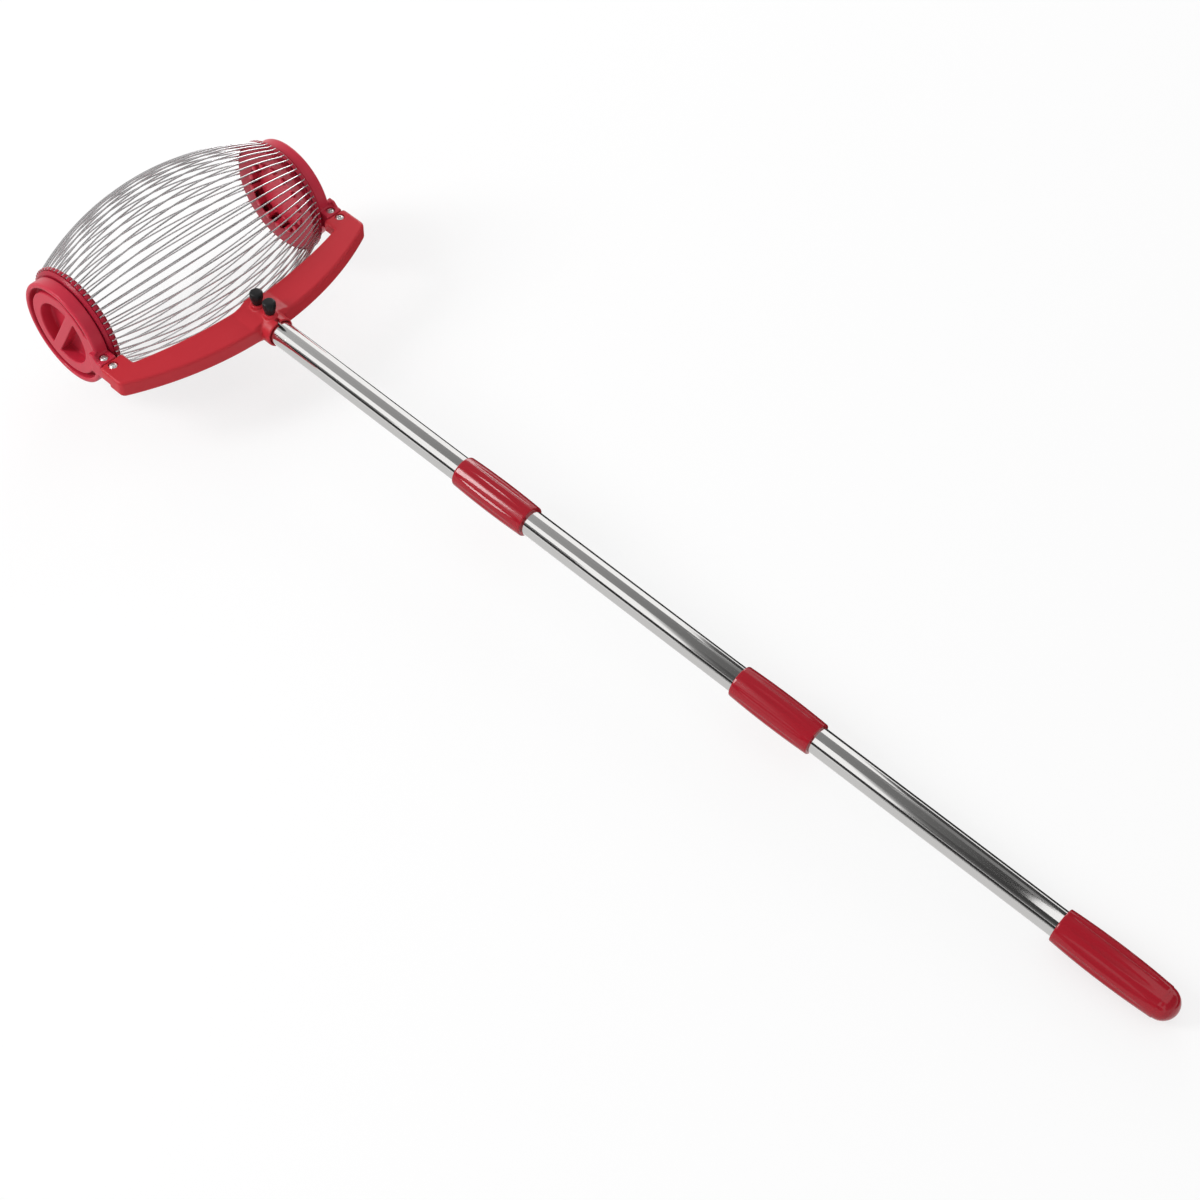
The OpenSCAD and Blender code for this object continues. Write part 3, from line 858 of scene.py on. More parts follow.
@dataclass
class Basket:
    """The rolling basket: bowed wires between two toothed hubs and the rings that trap the wires' ends."""

    belly_d: float = 156.0
    length: float = 222.0
    wire_d: float = 1.7
    drawn_d: float = 1.5
    wire_n: int = 60
    wire_seat: float = 3.0
    wire_sides: int = 12
    hub_sides: int = 128
    ring_sides: int = 144
    bow_steps: int = 56
    sway: float = 0.004
    seed: int = 7
    hub_t: float = 3.2
    tooth_lip: float = 0.1
    slot_gap: float = 0.15
    ring_t: float = 2.8
    ring_w: float = 16.0
    ring_step: float = 1.2
    ring_taper: float = 3.0
    collar_l: float = 3.5
    collar_step: float = 4.8
    rim_t: float = 1.2
    relief_r: float = 44.0
    lip: float = 0.8
    bore_d: float = 66.1
    sleeve_wall: float = 3.0
    lap_gap: float = 0.15
    edge: float = 0.4

    @property
    def hub_x(self) -> float:
        """Distance from the middle to a hub's inner face."""
        return self.length / 2

    @property
    def ring_x(self) -> float:
        """Distance from the middle to a wire ring."""
        return self.hub_x + self.hub_t

    @property
    def sleeve_r(self) -> float:
        """Outside radius of a hub's bearing sleeve."""
        return self.bore_d / 2 + self.sleeve_wall

    @property
    def ring_r(self) -> float:
        """Outside radius of a wire ring."""
        return self.sleeve_r + self.lap_gap + self.ring_w

    @property
    def hub_r(self) -> float:
        """Radius over the teeth."""
        return self.ring_r + self.ring_step

    @property
    def wire_circle_r(self) -> float:
        """Radius on which the wires enter the hubs."""
        return self.hub_r - self.tooth_lip - self.wire_d / 2

    @property
    def belly_r(self) -> float:
        """Radius of the wires' middle line at the belly."""
        return (self.belly_d - self.wire_d) / 2

    @property
    def bow_r(self) -> float:
        """Radius that a wire is bowed to."""
        sag = self.belly_r - self.wire_circle_r
        return (self.hub_x ** 2 + sag ** 2) / (2 * sag)

    @property
    def phase(self) -> float:
        """Turn of the basket at which it stands on two wires."""
        return math.pi / self.wire_n - TOOL.tip

    def build(self, finishes: Finishes) -> None:
        """Builds and dresses the basket.

        Args:
            finishes: The tool's finishes.
        """
        show("cage_wires", self.wires(finishes.wire), "basket", finishes.wire)
        for end in End:
            show(f"{end.side}_hub", self.hub(end, finishes.hub), "basket", finishes.hub)
            show(f"{end.side}_wire_ring", self.ring(end), "basket", finishes.hub)
            repaint(finishes.screw, f"{end.side}_ring_screws")

    def wires(self, material: bpy.types.Material) -> bpy.types.Mesh:
        """Bows one wire, bends its ends flat in the hubs and repeats it round the roller with a slight sway.

        Args:
            material: The wires' finish.

        Returns:
            All the wires.
        """
        half = math.asin((self.hub_x + self.wire_seat) / self.bow_r)
        tree = CopyTree("bowed_wires", {
            "Bow Radius": self.bow_r, "Half Angle": half, "Belly Radius": self.belly_r,
            "Wire Radius": self.drawn_d / 2, "Count": self.wire_n, "Phase": self.phase,
            "Hub Radius": self.wire_circle_r, "Sway": self.sway, "Seed": self.seed})
        bow_in, half_in = tree.input("Bow Radius"), tree.input("Half Angle")
        arc = tree.node("GeometryNodeCurveArc", {"mode": "RADIUS"}, Resolution=self.bow_steps, Radius=bow_in,
                        Start_Angle=QUARTER - half_in, Sweep_Angle=half_in * 2.0)
        lift = tree.node("ShaderNodeCombineXYZ", Z=tree.input("Belly Radius") - bow_in)
        stood = tree.node("GeometryNodeTransform", Geometry=arc.outputs[0], Rotation=(QUARTER, 0.0, 0.0),
                          Translation=lift.outputs[0])
        place = tree.node("ShaderNodeSeparateXYZ", Vector=tree.node("GeometryNodeInputPosition").outputs[0])
        height = Value(tree.tree, place.outputs[2]).math("MAXIMUM", tree.input("Hub Radius"))
        seated = tree.node("ShaderNodeCombineXYZ", X=place.outputs[0], Y=place.outputs[1], Z=height)
        bent = tree.node("GeometryNodeSetPosition", Geometry=stood.outputs[0], Position=seated.outputs[0])
        section = tree.node("GeometryNodeCurvePrimitiveCircle", {"mode": "RADIUS"}, Resolution=self.wire_sides,
                            Radius=tree.input("Wire Radius"))
        wire = tree.node("GeometryNodeCurveToMesh", Curve=bent.outputs[0], Profile_Curve=section.outputs[0],
                         Fill_Caps=True)
        chance = tree.node("FunctionNodeRandomValue", {"data_type": "FLOAT"}, ID=tree.index(),
                           Seed=tree.input("Seed"))
        chance.inputs[2].default_value, chance.inputs[3].default_value = -1.0, 1.0
        tree.close_ring(wire.outputs[0], material, Value(tree.tree, chance.outputs[1]) * tree.input("Sway"))
        return tree.run(bpy.data.meshes.new("bowed_wires"))

    def hub(self, end: End, material: bpy.types.Material) -> bpy.types.Mesh:
        """Builds a hub: a hollow, bored disc with a collar, a bearing sleeve and a ring of teeth between the wires.

        Args:
            end: Which end.
            material: The hub's finish.

        Returns:
            The hub.
        """
        bore, edge, hub_x, ring_x = self.bore_d / 2, self.edge, self.hub_x, self.ring_x
        root = self.wire_circle_r - self.wire_d / 2 - self.slot_gap
        collar_x, collar_r = hub_x - self.collar_l, self.hub_r - self.collar_step
        rim_x, far = hub_x + self.rim_t, ring_x + self.ring_t
        front, back = collar_x + self.lip, ring_x - self.lip
        profile = rounded([
            (collar_x, bore, edge), (collar_x, collar_r, edge), (hub_x, collar_r, edge), (hub_x, self.hub_r, edge),
            (rim_x, self.hub_r, edge), (rim_x, root, 0.0), (ring_x, root, 0.0), (ring_x, self.sleeve_r, 0.0),
            (far, self.sleeve_r, edge), (far, bore, edge), (back, bore, 0.0), (back, self.relief_r, 0.0),
            (front, self.relief_r, 0.0), (front, bore, 0.0)])
        body = turned(profile, Axis.ROLLER, self.hub_sides)
        pitch = FULL_TURN * self.hub_r / self.wire_n
        half = (pitch - self.wire_d - 2 * self.slot_gap) / 2
        tooth = block((hub_x, -half, root - edge), (ring_x, half, self.hub_r), edge)
        comb = copies_round(f"{end.side}_teeth", tooth, self.wire_n, self.phase + math.pi / self.wire_n, material)
        return joined(f"{end.side}_hub", end, body.mesh("hub_body"), comb)

    def ring(self, end: End) -> bpy.types.Mesh:
        """Builds the smooth ring behind a hub's teeth, which tapers towards the holder.

        Args:
            end: Which end.

        Returns:
            The ring.
        """
        inner, far = self.sleeve_r + self.lap_gap, self.ring_x + self.ring_t
        profile = rounded([
            (self.ring_x, inner, 0.0), (self.ring_x, self.ring_r, self.edge),
            (far, self.ring_r - self.ring_taper, self.edge), (far, inner, self.edge)])
        return joined("wire_ring", end, turned(profile, Axis.ROLLER, self.ring_sides).mesh("wire_ring_body"))


@dataclass
class Holder:
    """An end holder: a drum with a grooved face, a cup with a bar across it, a stub axle and a screwed lug."""

    inner_x: float = 117.8
    depth: float = 11.7
    radius: float = 47.75
    rim_w: float = 4.75
    rim_step: float = 0.8
    rim_round: float = 2.0
    back_round: float = 0.6
    groove_w: float = 4.2
    groove_round: float = 1.2
    edge: float = 0.8
    bridge_w: float = 42.0
    bridge_reach: float = 0.9
    bridge_slack: float = 0.05
    bridge_depth: float = 0.1
    web_t: float = 3.5
    cup_r: float = 28.5
    cup_floor_x: float = 117.6
    floor_t: float = 3.0
    bar_w: float = 9.5
    bar_lean: float = 30.0
    bar_sink: float = 1.0
    bar_round: float = 0.7
    stub_r: float = 33.0
    stub_x: float = 105.6
    finger_n: int = 14
    finger_slot: float = 8.5
    finger_slot_x: float = 116.1
    barb: float = 1.3
    lug_w: float = 16.4
    lug_end: float = 57.95
    lug_half_t: float = 8.0
    lug_round: float = 1.2
    prong_low_t: float = 6.0
    prong_end: float = 69.95
    prong_round: float = 1.0
    wall_t: float = 3.0
    wall_h: float = 4.0
    wall_end: float = 48.75
    wall_toe: float = 1.5
    wall_round: float = 0.6
    screw_y: float = 51.95
    sides: int = 240
    finger_sides: int = 8
    mould: Mould = Mould(0.52, 6)

    @property
    def outer_x(self) -> float:
        """Distance from the middle to the rim's face."""
        return self.inner_x + self.depth

    @property
    def face_x(self) -> float:
        """Distance from the middle to the face round the cup."""
        return self.outer_x - self.rim_step

    @property
    def groove_r(self) -> float:
        """Outside radius of the groove."""
        return self.radius - self.rim_w

    def build(self, finishes: Finishes) -> None:
        """Builds and dresses both holders.

        Args:
            finishes: The tool's finishes.
        """
        seat = screw_seat(self.lug_half_t, self.inner_x + self.lug_w / 2, self.screw_y)
        mesh = self.mould.cast("holder", self.solid(finishes.holder), seat)
        for end in End:
            show(f"{end.side}_holder", joined("holder", end, mesh), "head", finishes.holder)

    def solid(self, material: bpy.types.Material) -> Solid:
        """All the overlapping solids of a right-hand holder.

        Args:
            material: The finish that the fingers carry.

        Returns:
            The solids.
        """
        made = self.drum().add(self.bar()).add(self.lug())
        fingers = copies_round("snap_fingers", self.finger(), self.finger_n, 0.0, material)
        return made.add(Solid.from_mesh(fingers))

    def drum(self) -> Solid:
        """The drum, its rim, groove and cup, with the groove filled at the lug.

        Returns:
            The drum.
        """
        face, edge, groove_r = self.face_x, self.edge, self.groove_r
        floor, inner = self.inner_x + self.web_t, groove_r - self.groove_w
        back = self.cup_floor_x - self.floor_t
        profile = rounded([
            (back, 0.0, 0.0), (back, self.cup_r, 0.0), (self.finger_slot_x, self.cup_r, 0.0),
            (self.finger_slot_x, self.stub_r, 0.0), (self.inner_x, self.stub_r, 0.0),
            (self.inner_x, self.radius, self.back_round), (self.outer_x, self.radius, self.rim_round),
            (self.outer_x, groove_r, self.groove_round), (floor, groove_r, edge), (floor, inner, edge),
            (face, inner, edge), (face, self.cup_r, edge), (self.cup_floor_x, self.cup_r, edge),
            (self.cup_floor_x, 0.0, 0.0)])

        def bridged(angle: float, along: float, radius: float) -> Point:
            """Fills the groove where the lug carries the holder.

            Args:
                angle: Angle round the axis.
                along: Distance along the axis.
                radius: Distance from the axis.

            Returns:
                The point's new distance along the axis and its new radius.
            """
            at_lug = math.sin(angle) < 0.0 and abs(radius * math.cos(angle)) < self.bridge_w / 2
            across = inner - self.bridge_reach < radius < groove_r + self.bridge_slack
            deep = floor - self.bridge_depth < along < face
            return (face if at_lug and across and deep else along), radius

        return turned(profile, Axis.ROLLER, self.sides, shape=bridged)

    def bar(self) -> Solid:
        """The bar across the cup.

        Returns:
            The bar.
        """
        half, reach = self.bar_w / 2, self.cup_r + self.bar_sink
        bar = block((self.cup_floor_x - self.bar_sink, -half, -reach), (self.face_x, half, reach), self.bar_round)
        return Solid().add(bar, Matrix.Rotation(math.radians(self.bar_lean), 4, "X"))

    def finger(self) -> Solid:
        """One snap finger with its barb, at the top of the stub axle.

        Returns:
            The finger.
        """
        root, step = self.finger_slot_x + self.barb, self.stub_x + self.barb
        profile = [(self.stub_x, self.cup_r), (root, self.cup_r), (root, self.stub_r), (step, self.stub_r),
                   (step, self.stub_r + self.barb), (self.stub_x, self.stub_r)]
        sweep = FULL_TURN / self.finger_n - self.finger_slot / self.stub_r
        return turned(profile, Axis.ROLLER, self.finger_sides, -sweep / 2 + math.pi, sweep)

    def lug(self) -> Solid:
        """The forked lug and the wall along its outer side.

        Returns:
            The lug with its wall.
        """
        near, out = self.inner_x, self.inner_x + self.lug_w
        top, root = self.lug_half_t, self.groove_r
        crest, toe = top + self.wall_h, -self.wall_end - self.wall_h - self.wall_toe
        made = block((near, -self.lug_end, -top), (out, -root, top), self.lug_round)
        made.add(block((near, -self.prong_end, -top), (out, -root, self.prong_low_t - top), self.prong_round))
        slope = [(-root, 0.0), (-root, crest), (-self.wall_end, crest), (toe, top - self.wall_toe), (toe, 0.0)]
        upright = Matrix.Rotation(QUARTER, 4, "Z") @ Matrix.Rotation(QUARTER, 4, "X")
        made.add(prism(slope, out - self.wall_t, out, self.wall_round), upright)
        return made.add(block((self.face_x, -self.radius, 0.0), (out, -root, crest), self.wall_round))


@dataclass
class Yoke:
    """The bowed yoke with its end blocks, the pole socket and the pads under the thumb screws."""

    half: float = 136.0
    end_w: float = 24.0
    thick: float = 16.0
    inner_y: float = 87.0
    outer_y: float = 117.5
    inner_sag: float = 15.0
    outer_sag: float = 32.5
    end_front: float = 58.1
    end_round: float = 2.6
    corner: float = 6.0
    edge: float = 2.2
    socket_r: float = 13.4
    socket_round: float = 1.0
    bore_r: float = 11.25
    bore_round: float = 0.4
    mouth_y: float = 127.2
    shoulder_half: float = 24.0
    shoulder_sink: float = 1.0
    saddle_back: float = 2.0
    saddle_lean: float = math.pi / 3
    knob_places: tuple[float, float] = (99.4, 115.4)
    pad_r: float = 6.0
    pad_top: float = 16.0
    pad_round: float = 0.8
    notch_w: float = 4.0
    notch_l: float = 5.0
    notch_sink: float = 3.0
    notch_over: float = 1.0
    prong_end: float = 70.1
    prong_top: float = -1.85
    screw_place: tuple[float, float] = (126.0, 63.95)
    cut_over: float = 2.0
    arc_steps: int = 72
    corner_steps: int = 8
    end_steps: int = 4
    socket_sides: int = 96
    pad_sides: int = 48
    mould: Mould = Mould(0.6, 14)

    def build(self, finishes: Finishes) -> None:
        """Builds and dresses the yoke."""
        show("yoke", self.mould.cast("yoke", self.solid(), self.cuts()), "head", finishes.yoke)

    def outline(self) -> list[Point]:
        """The yoke's outline seen from above, counter-clockwise.

        Returns:
            The outline's points.
        """
        end_in = self.half - self.end_w
        inner_r = (end_in ** 2 + self.inner_sag ** 2) / (2 * self.inner_sag)
        outer_r = (self.half ** 2 + self.outer_sag ** 2) / (2 * self.outer_sag)
        corner_x = self.half - self.corner
        corner_y = outer_r - self.outer_y - math.sqrt((outer_r - self.corner) ** 2 - corner_x ** 2)
        lean = math.asin(corner_x / (outer_r - self.corner))
        outer = [(outer_r * math.sin(turn), outer_r - self.outer_y - outer_r * math.cos(turn))
                 for turn in spread(-lean, lean, self.arc_steps)]
        inner = [(x, inner_r - self.inner_y - math.sqrt(inner_r ** 2 - x ** 2))
                 for x in spread(end_in, -end_in, self.arc_steps)]
        end = [(corner_x + self.corner * math.cos(turn), corner_y + self.corner * math.sin(turn))
               for turn in spread(lean - QUARTER, 0.0, self.corner_steps)[1:]]
        end += rounded([
            (self.half, corner_y, 0.0), (self.half, -self.end_front, self.end_round),
            (end_in, -self.end_front, self.end_round), (end_in, -self.inner_y + self.inner_sag, 0.0)],
            self.end_steps, closed=False)[1:-1]
        return outer + end + inner + [(-x, y) for x, y in reversed(end)]

    def solid(self) -> Solid:
        """The overlapping solids of the yoke.

        Returns:
            The solids.
        """
        top = self.thick / 2
        made = prism(self.outline(), -top, top, self.edge)
        tube = rounded([
            (self.inner_y, self.bore_r, 0.0), (self.mouth_y, self.bore_r, self.bore_round),
            (self.mouth_y, self.socket_r, self.socket_round), (self.inner_y, self.socket_r, self.socket_round)])
        made.add(turned(tube, Axis.POLE, self.socket_sides))
        rise, run = self.socket_r * math.sin(self.saddle_lean), self.socket_r * math.cos(self.saddle_lean)
        wing, sink = self.shoulder_half, self.shoulder_sink
        quarter = [(wing, top - sink), (run, rise)]
        upper = quarter + [(-x, z) for x, z in reversed(quarter)]
        saddle = upper + [(-x, -z) for x, z in upper]
        made.add(prism(saddle, self.inner_y + sink, self.outer_y - self.saddle_back, sink), Axis.POLE.matrix())
        pad = rounded([(0.0, 0.0, 0.0), (0.0, self.pad_r, 0.0), (self.pad_top, self.pad_r, self.pad_round),
                       (self.pad_top, 0.0, 0.0)])
        for y in self.knob_places:
            made.add(turned(pad, Axis.UP, self.pad_sides), Matrix.Translation((0.0, -y, 0.0)))
        return made

    def cuts(self) -> Solid:
        """Screw seats, the notch in the socket's mouth and the room under the ends for the lugs' prongs.

        Returns:
            The cutters.
        """
        over = self.cut_over
        made = block((-self.notch_w / 2, -self.mouth_y - self.notch_over, self.bore_r - self.notch_sink),
                     (self.notch_w / 2, -self.mouth_y + self.notch_l, self.socket_r + over))
        x, y = self.screw_place
        for end in End:
            made.add(screw_seat(self.thick / 2, end.value * x, y))
            near, far = sorted((end.value * (self.half - self.end_w - over), end.value * (self.half + over)))
            made.add(block((near, -self.prong_end, -self.thick), (far, -self.end_front + over, self.prong_top)))
        return made


@dataclass
class Fasteners:
    """The pan-head screws of the lugs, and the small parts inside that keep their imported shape."""

    head_d: float = 7.6
    head_h: float = 2.4
    head_side: float = 0.55
    head_flat: float = 0.45
    head_rounds: Triple = (0.2, 0.6, 0.8)
    thread_d: float = 4.0
    thread_round: float = 0.4
    seat_z: float = 5.6
    reach: float = 13.6
    recess_w: float = 0.95
    recess_l: float = 4.2
    recess_floor: float = 0.45
    recess_over: float = 1.0
    sides: int = 48
    x: float = 126.0
    places: tuple[float, float] = (51.95, 63.95)

    def build(self, finishes: Finishes) -> None:
        """Builds the screws and dresses the parts inside.

        Args:
            finishes: The tool's finishes.
        """
        spots = [Vector((end.value * self.x, -y, self.seat_z)) for end in End for y in self.places]
        mesh = copies_at("pan_screws", self.screw(), spots, finishes.screw)
        show("holder_screws", mesh, "head", finishes.screw)
        repaint(finishes.screw, "holder_nuts", "front_stud", "rear_stud")
        repaint(finishes.brass, "clamp_inserts")
        repaint(finishes.plug, "middle_plug", "upper_plug")

    def screw(self) -> Solid:
        """One screw: a domed head with a cross recess, and its shank.

        Returns:
            The screw, with the underside of its head at the origin.
        """
        head, shank, high = self.head_d / 2, self.thread_d / 2, self.head_h
        foot, brow, crown = self.head_rounds
        profile = rounded([
            (-self.reach, 0.0, 0.0), (-self.reach, shank, self.thread_round), (0.0, shank, 0.0), (0.0, head, foot),
            (high * self.head_side, head, brow), (high, head * self.head_flat, crown), (high, 0.0, 0.0)])
        body = scratch_object("screw_body", turned(profile, Axis.UP, self.sides).mesh("screw_body"))
        half_l, half_w = self.recess_l / 2, self.recess_w / 2
        cross = block((-half_l, -half_w, high * self.recess_floor), (half_l, half_w, high + self.recess_over))
        cross.add(cross, Matrix.Rotation(QUARTER, 4, "Z"))
        return Solid.from_mesh(drilled(body, cross, crossed=True))


@dataclass
class ThumbScrews:
    """The two black knobs that clamp the pole: tapered, domed and lightly fluted."""

    places: tuple[float, float] = (99.4, 115.4)
    foot_z: float = 16.4
    height: float = 12.4
    top_r: float = 5.8
    shoulder: float = 0.55
    shoulder_round: float = 4.0
    foot_r: float = 4.2
    foot_round: float = 0.6
    bore_r: float = 2.55
    bore_depth: float = 8.0
    dome: float = 2.4
    dome_rise: float = 0.01
    flute_n: int = 10
    flute_depth: float = 0.22
    flute_from: float = 0.95
    flute_stop: float = 0.3
    round_steps: int = 7
    sides: int = 120

    def build(self, finishes: Finishes) -> None:
        """Builds and dresses both knobs.

        Args:
            finishes: The tool's finishes.
        """
        for name, y in zip(("front_knob", "rear_knob"), self.places):
            solid = Solid().add(self.knob(), Matrix.Translation((0.0, -y, self.foot_z)))
            show(name, solid.mesh(name), name, finishes.knob)

    def knob(self) -> Solid:
        """One knob on its foot, bored for its stud.

        Returns:
            The knob, with its foot at the origin.
        """
        profile = rounded([
            (self.bore_depth, 0.0, 0.0), (self.bore_depth, self.bore_r, 0.0), (0.0, self.bore_r, 0.0),
            (0.0, self.foot_r, self.foot_round), (self.height * self.shoulder, self.top_r, self.shoulder_round),
            (self.height, self.top_r, self.dome), (self.height + self.dome_rise, 0.0, 0.0)], self.round_steps)

        def fluted(angle: float, along: float, radius: float) -> Point:
            """Presses shallow flutes into the knob's side.

            Args:
                angle: Angle round the axis.
                along: Distance along the axis.
                radius: Distance from the axis.

            Returns:
                The point's new distance along the axis and its new radius.
            """
            if radius < self.foot_r * self.flute_from or along > self.height - self.flute_stop:
                return along, radius
            ease = math.sin(math.pi * min(along / self.height, 1.0))
            return along, radius - self.flute_depth * ease * max(0.0, math.cos(self.flute_n * angle)) ** 2

        return turned(profile, Axis.UP, self.sides, shape=fluted)


def bowed(belly: float, end: float, length: float) -> Callable[[float], float]:
    """Makes the function that gives a bowed side's radius along its length.

    Args:
        belly: Radius halfway along.
        end: Radius at both ends.
        length: Distance between the ends.

    Returns:
        The function.
    """
    bow = ((length / 2) ** 2 + (belly - end) ** 2) / (2 * (belly - end))
    return lambda y: belly - bow + math.sqrt(bow ** 2 - (y - length / 2) ** 2)


@dataclass
class Pole:
    """Three polished tubes, the two fluted couplings that join them and the hand grip."""

    tube_d: float = 22.0
    tube_wall: float = 0.6
    tube_rounds: tuple[float, float] = (0.1, 0.25)
    tube_steps: int = 3
    tube_sides: int = 128
    socket_floor: float = 91.15
    mouth_y: float = 127.2
    bare: float = 216.5
    coupling_l: float = 74.0
    coupling_d: float = 28.4
    coupling_end_d: float = 26.6
    coupling_steps: int = 60
    tube_seat: float = 34.0
    pilot: float = 15.35
    grip_l: float = 96.0
    grip_d: float = 29.6
    grip_start_d: float = 26.8
    grip_end_d: float = 25.6
    grip_swell: float = 80.0
    grip_hold: float = 66.0
    grip_steps: int = 64
    cap_steps: int = 20
    ease_rise: float = 0.25
    ease_width: float = 0.5
    fit_gap: float = 0.05
    lead: float = 0.6
    mouth_low: float = 0.5
    mouth_round: float = 0.15
    flute_n: int = 10
    flute_r: float = 5.0
    flute_rise: float = 0.15
    flute_blend: float = 0.16
    sides: int = 200
    soft: float = 60.0

    @property
    def coupling_places(self) -> tuple[float, float]:
        """Distance from the roller to the start of each coupling."""
        first = self.mouth_y + self.bare
        return first, first + self.bare + self.coupling_l

    @property
    def grip_y(self) -> float:
        """Distance from the roller to the start of the grip."""
        return self.coupling_places[1] + self.coupling_l + self.bare

    @property
    def bore(self) -> float:
        """Radius of the bore that takes a tube."""
        return self.tube_d / 2 + self.fit_gap

    def build(self, finishes: Finishes) -> None:
        """Builds and dresses the pole.

        Args:
            finishes: The tool's finishes.
        """
        first, second = self.coupling_places
        pilot_at = self.coupling_l - self.pilot
        tubes = (
            ("lower", self.socket_floor, first + self.tube_seat),
            ("middle", first + pilot_at, second + self.tube_seat),
            ("upper", second + pilot_at, self.grip_y + self.grip_hold))
        for name, low, high in tubes:
            show(f"{name}_tube", self.tube(low, high).mesh(name), f"{name}_pole", finishes.tube)
        fittings = (
            ("lower_coupling", "lower_pole", self.coupling(), first),
            ("upper_coupling", "middle_pole", self.coupling(), second),
            ("hand_grip", "upper_pole", self.grip(), self.grip_y))
        for node, body, solid, place in fittings:
            mesh = Solid().add(solid, Matrix.Translation((0.0, -place, 0.0))).mesh(node)
            show(node, mesh, body, finishes.fitting, self.soft)

    def tube(self, low: float, high: float) -> Solid:
        """One tube between two distances from the roller.

        Args:
            low: Where it starts.
            high: Where it ends.

        Returns:
            The tube.
        """
        outer = self.tube_d / 2
        inner = outer - self.tube_wall
        fine, edge = self.tube_rounds
        profile = rounded([(low, inner, fine), (low, outer, edge), (high, outer, edge), (high, inner, fine)],
                          self.tube_steps)
        return turned(profile, Axis.POLE, self.tube_sides)

    def mouth(self, radius: float) -> list[Point]:
        """The profile of a fitting's open end, from its bore to its side."""
        return [(0.0, self.bore), (0.0, radius - self.mouth_low), (self.mouth_round, radius - self.mouth_round)]

    def coupling(self) -> Solid:
        """One coupling: a barrel with leaf-shaped flutes.

        Returns:
            The coupling, with its start at the origin.
        """
        end, far = self.coupling_end_d / 2, self.coupling_l
        bow = bowed(self.coupling_d / 2, end, far)
        side = [(y, bow(y)) for y in spread(self.lead, far - self.lead, self.coupling_steps)]
        mouth = self.mouth(end)
        profile = [*mouth, *side, *((far - y, radius) for y, radius in reversed(mouth))]
        return turned(profile, Axis.POLE, self.sides, shape=self.fluter(end + self.flute_rise))

    def grip(self) -> Solid:
        """The hand grip: a swollen, fluted barrel that runs into a domed end.

        Returns:
            The grip, with its start at the origin.
        """
        start, end = self.grip_start_d / 2, self.grip_end_d / 2
        bow = bowed(self.grip_d / 2, start, self.grip_swell)
        dome = self.grip_l - end
        side = []
        for y in spread(self.lead, dome, self.grip_steps):
            arch = bow(y)
            ease = self.ease_rise * math.exp(-((arch - end) / self.ease_width) ** 2)
            side.append((y, max(arch, end) + ease))
        turns = spread(0.0, QUARTER, self.cap_steps)[1:]
        cap = [(dome + end * math.sin(turn), end * math.cos(turn)) for turn in turns]
        profile = [(self.grip_hold, 0.0), (self.grip_hold, self.bore), *self.mouth(start), *side, *cap]
        return turned(profile, Axis.POLE, self.sides, shape=self.fluter(start + self.flute_rise))

    def flute(self, angle: float, floor: float) -> float:
        """Radius of the fluted surface at an angle, if the flutes were all.

        Args:
            angle: Angle round the pole.
            floor: Radius of the flutes' floor.

        Returns:
            The radius, or a large one between flutes.
        """
        step = FULL_TURN / self.flute_n
        off = (angle + step / 2) % step - step / 2
        far = floor + self.flute_r
        inside = self.flute_r ** 2 - (far * math.sin(off)) ** 2
        return far if inside <= 0.0 else far * math.cos(off) - math.sqrt(inside)

    def fluter(self, floor: float) -> Callable[[float, float, float], Point]:
        """Makes the function that presses flutes into a turned shape.

        Args:
            floor: Radius of the flutes' floor.

        Returns:
            A shape function for turning.
        """

        def fluted(angle: float, along: float, radius: float) -> Point:
            """Softly takes the smaller of the barrel and the flutes.

            Args:
                angle: Angle round the axis.
                along: Distance along the axis.
                radius: Distance from the axis.

            Returns:
                The point's new distance along the axis and its new radius.
            """
            if radius <= floor:
                return along, radius
            hollow = self.flute(angle, floor)
            share = max(0.0, min(1.0, 0.5 + 0.5 * (hollow - radius) / self.flute_blend))
            soft = hollow * (1 - share) + radius * share - self.flute_blend * share * (1 - share)
            return along, min(radius, soft)

        return fluted


# The studio


def sheet(name: str, size: Point, height: float, material: bpy.types.Material) -> bpy.types.Object:
    """Lays a flat sheet about the origin.

    Args:
        name: The sheet's name.
        size: Its extent along X and Y.
        height: Its height.
        material: Its finish.

    Returns:
        The sheet, outside the tool.
    """
    x, y = size[0] / 2, size[1] / 2
    mesh = bpy.data.meshes.new(name)
    mesh.from_pydata([(-x, -y, height), (x, -y, height), (x, y, height), (-x, y, height)], [], [(0, 1, 2, 3)])
    mesh.materials.append(material)
    return scratch_object(name, mesh)


@dataclass(frozen=True)
class Card:
    """A card that shows only in gloss, dark on one side, so that polished metal gets its bands.

    Its width runs along X, from its dark side on, before it is turned.
    """

    name: str
    place: Triple
    size: Point
    turn: Triple
    dark: float
    fade: float
    bright: float = 1.0

    def build(self) -> None:
        """Hangs the card."""
        card = sheet(self.name, self.size, 0.0, self.material())
        card.location = self.place
        card.rotation_euler = self.turn
        card.visible_camera = card.visible_diffuse = card.visible_shadow = card.visible_transmission = False

    def material(self) -> bpy.types.Material:
        """Makes a glow that brightens across the card.

        Returns:
            The material.
        """
        material = bpy.data.materials.new(self.name)
        tree = bare_tree(material)
        spot = tree.nodes.new("ShaderNodeTexCoord").outputs["Object"]
        across = Value(tree, add_node(tree, "ShaderNodeSeparateXYZ", {}, Vector=spot).outputs[0])
        share = (across * (1.0 / self.size[0]) + 0.5).clamped().math("POWER", self.fade)
        light = share * (self.bright - self.dark) + self.dark
        end_tree(tree, add_node(tree, "ShaderNodeEmission", {}, Color=WHITE, Strength=light))
        return material


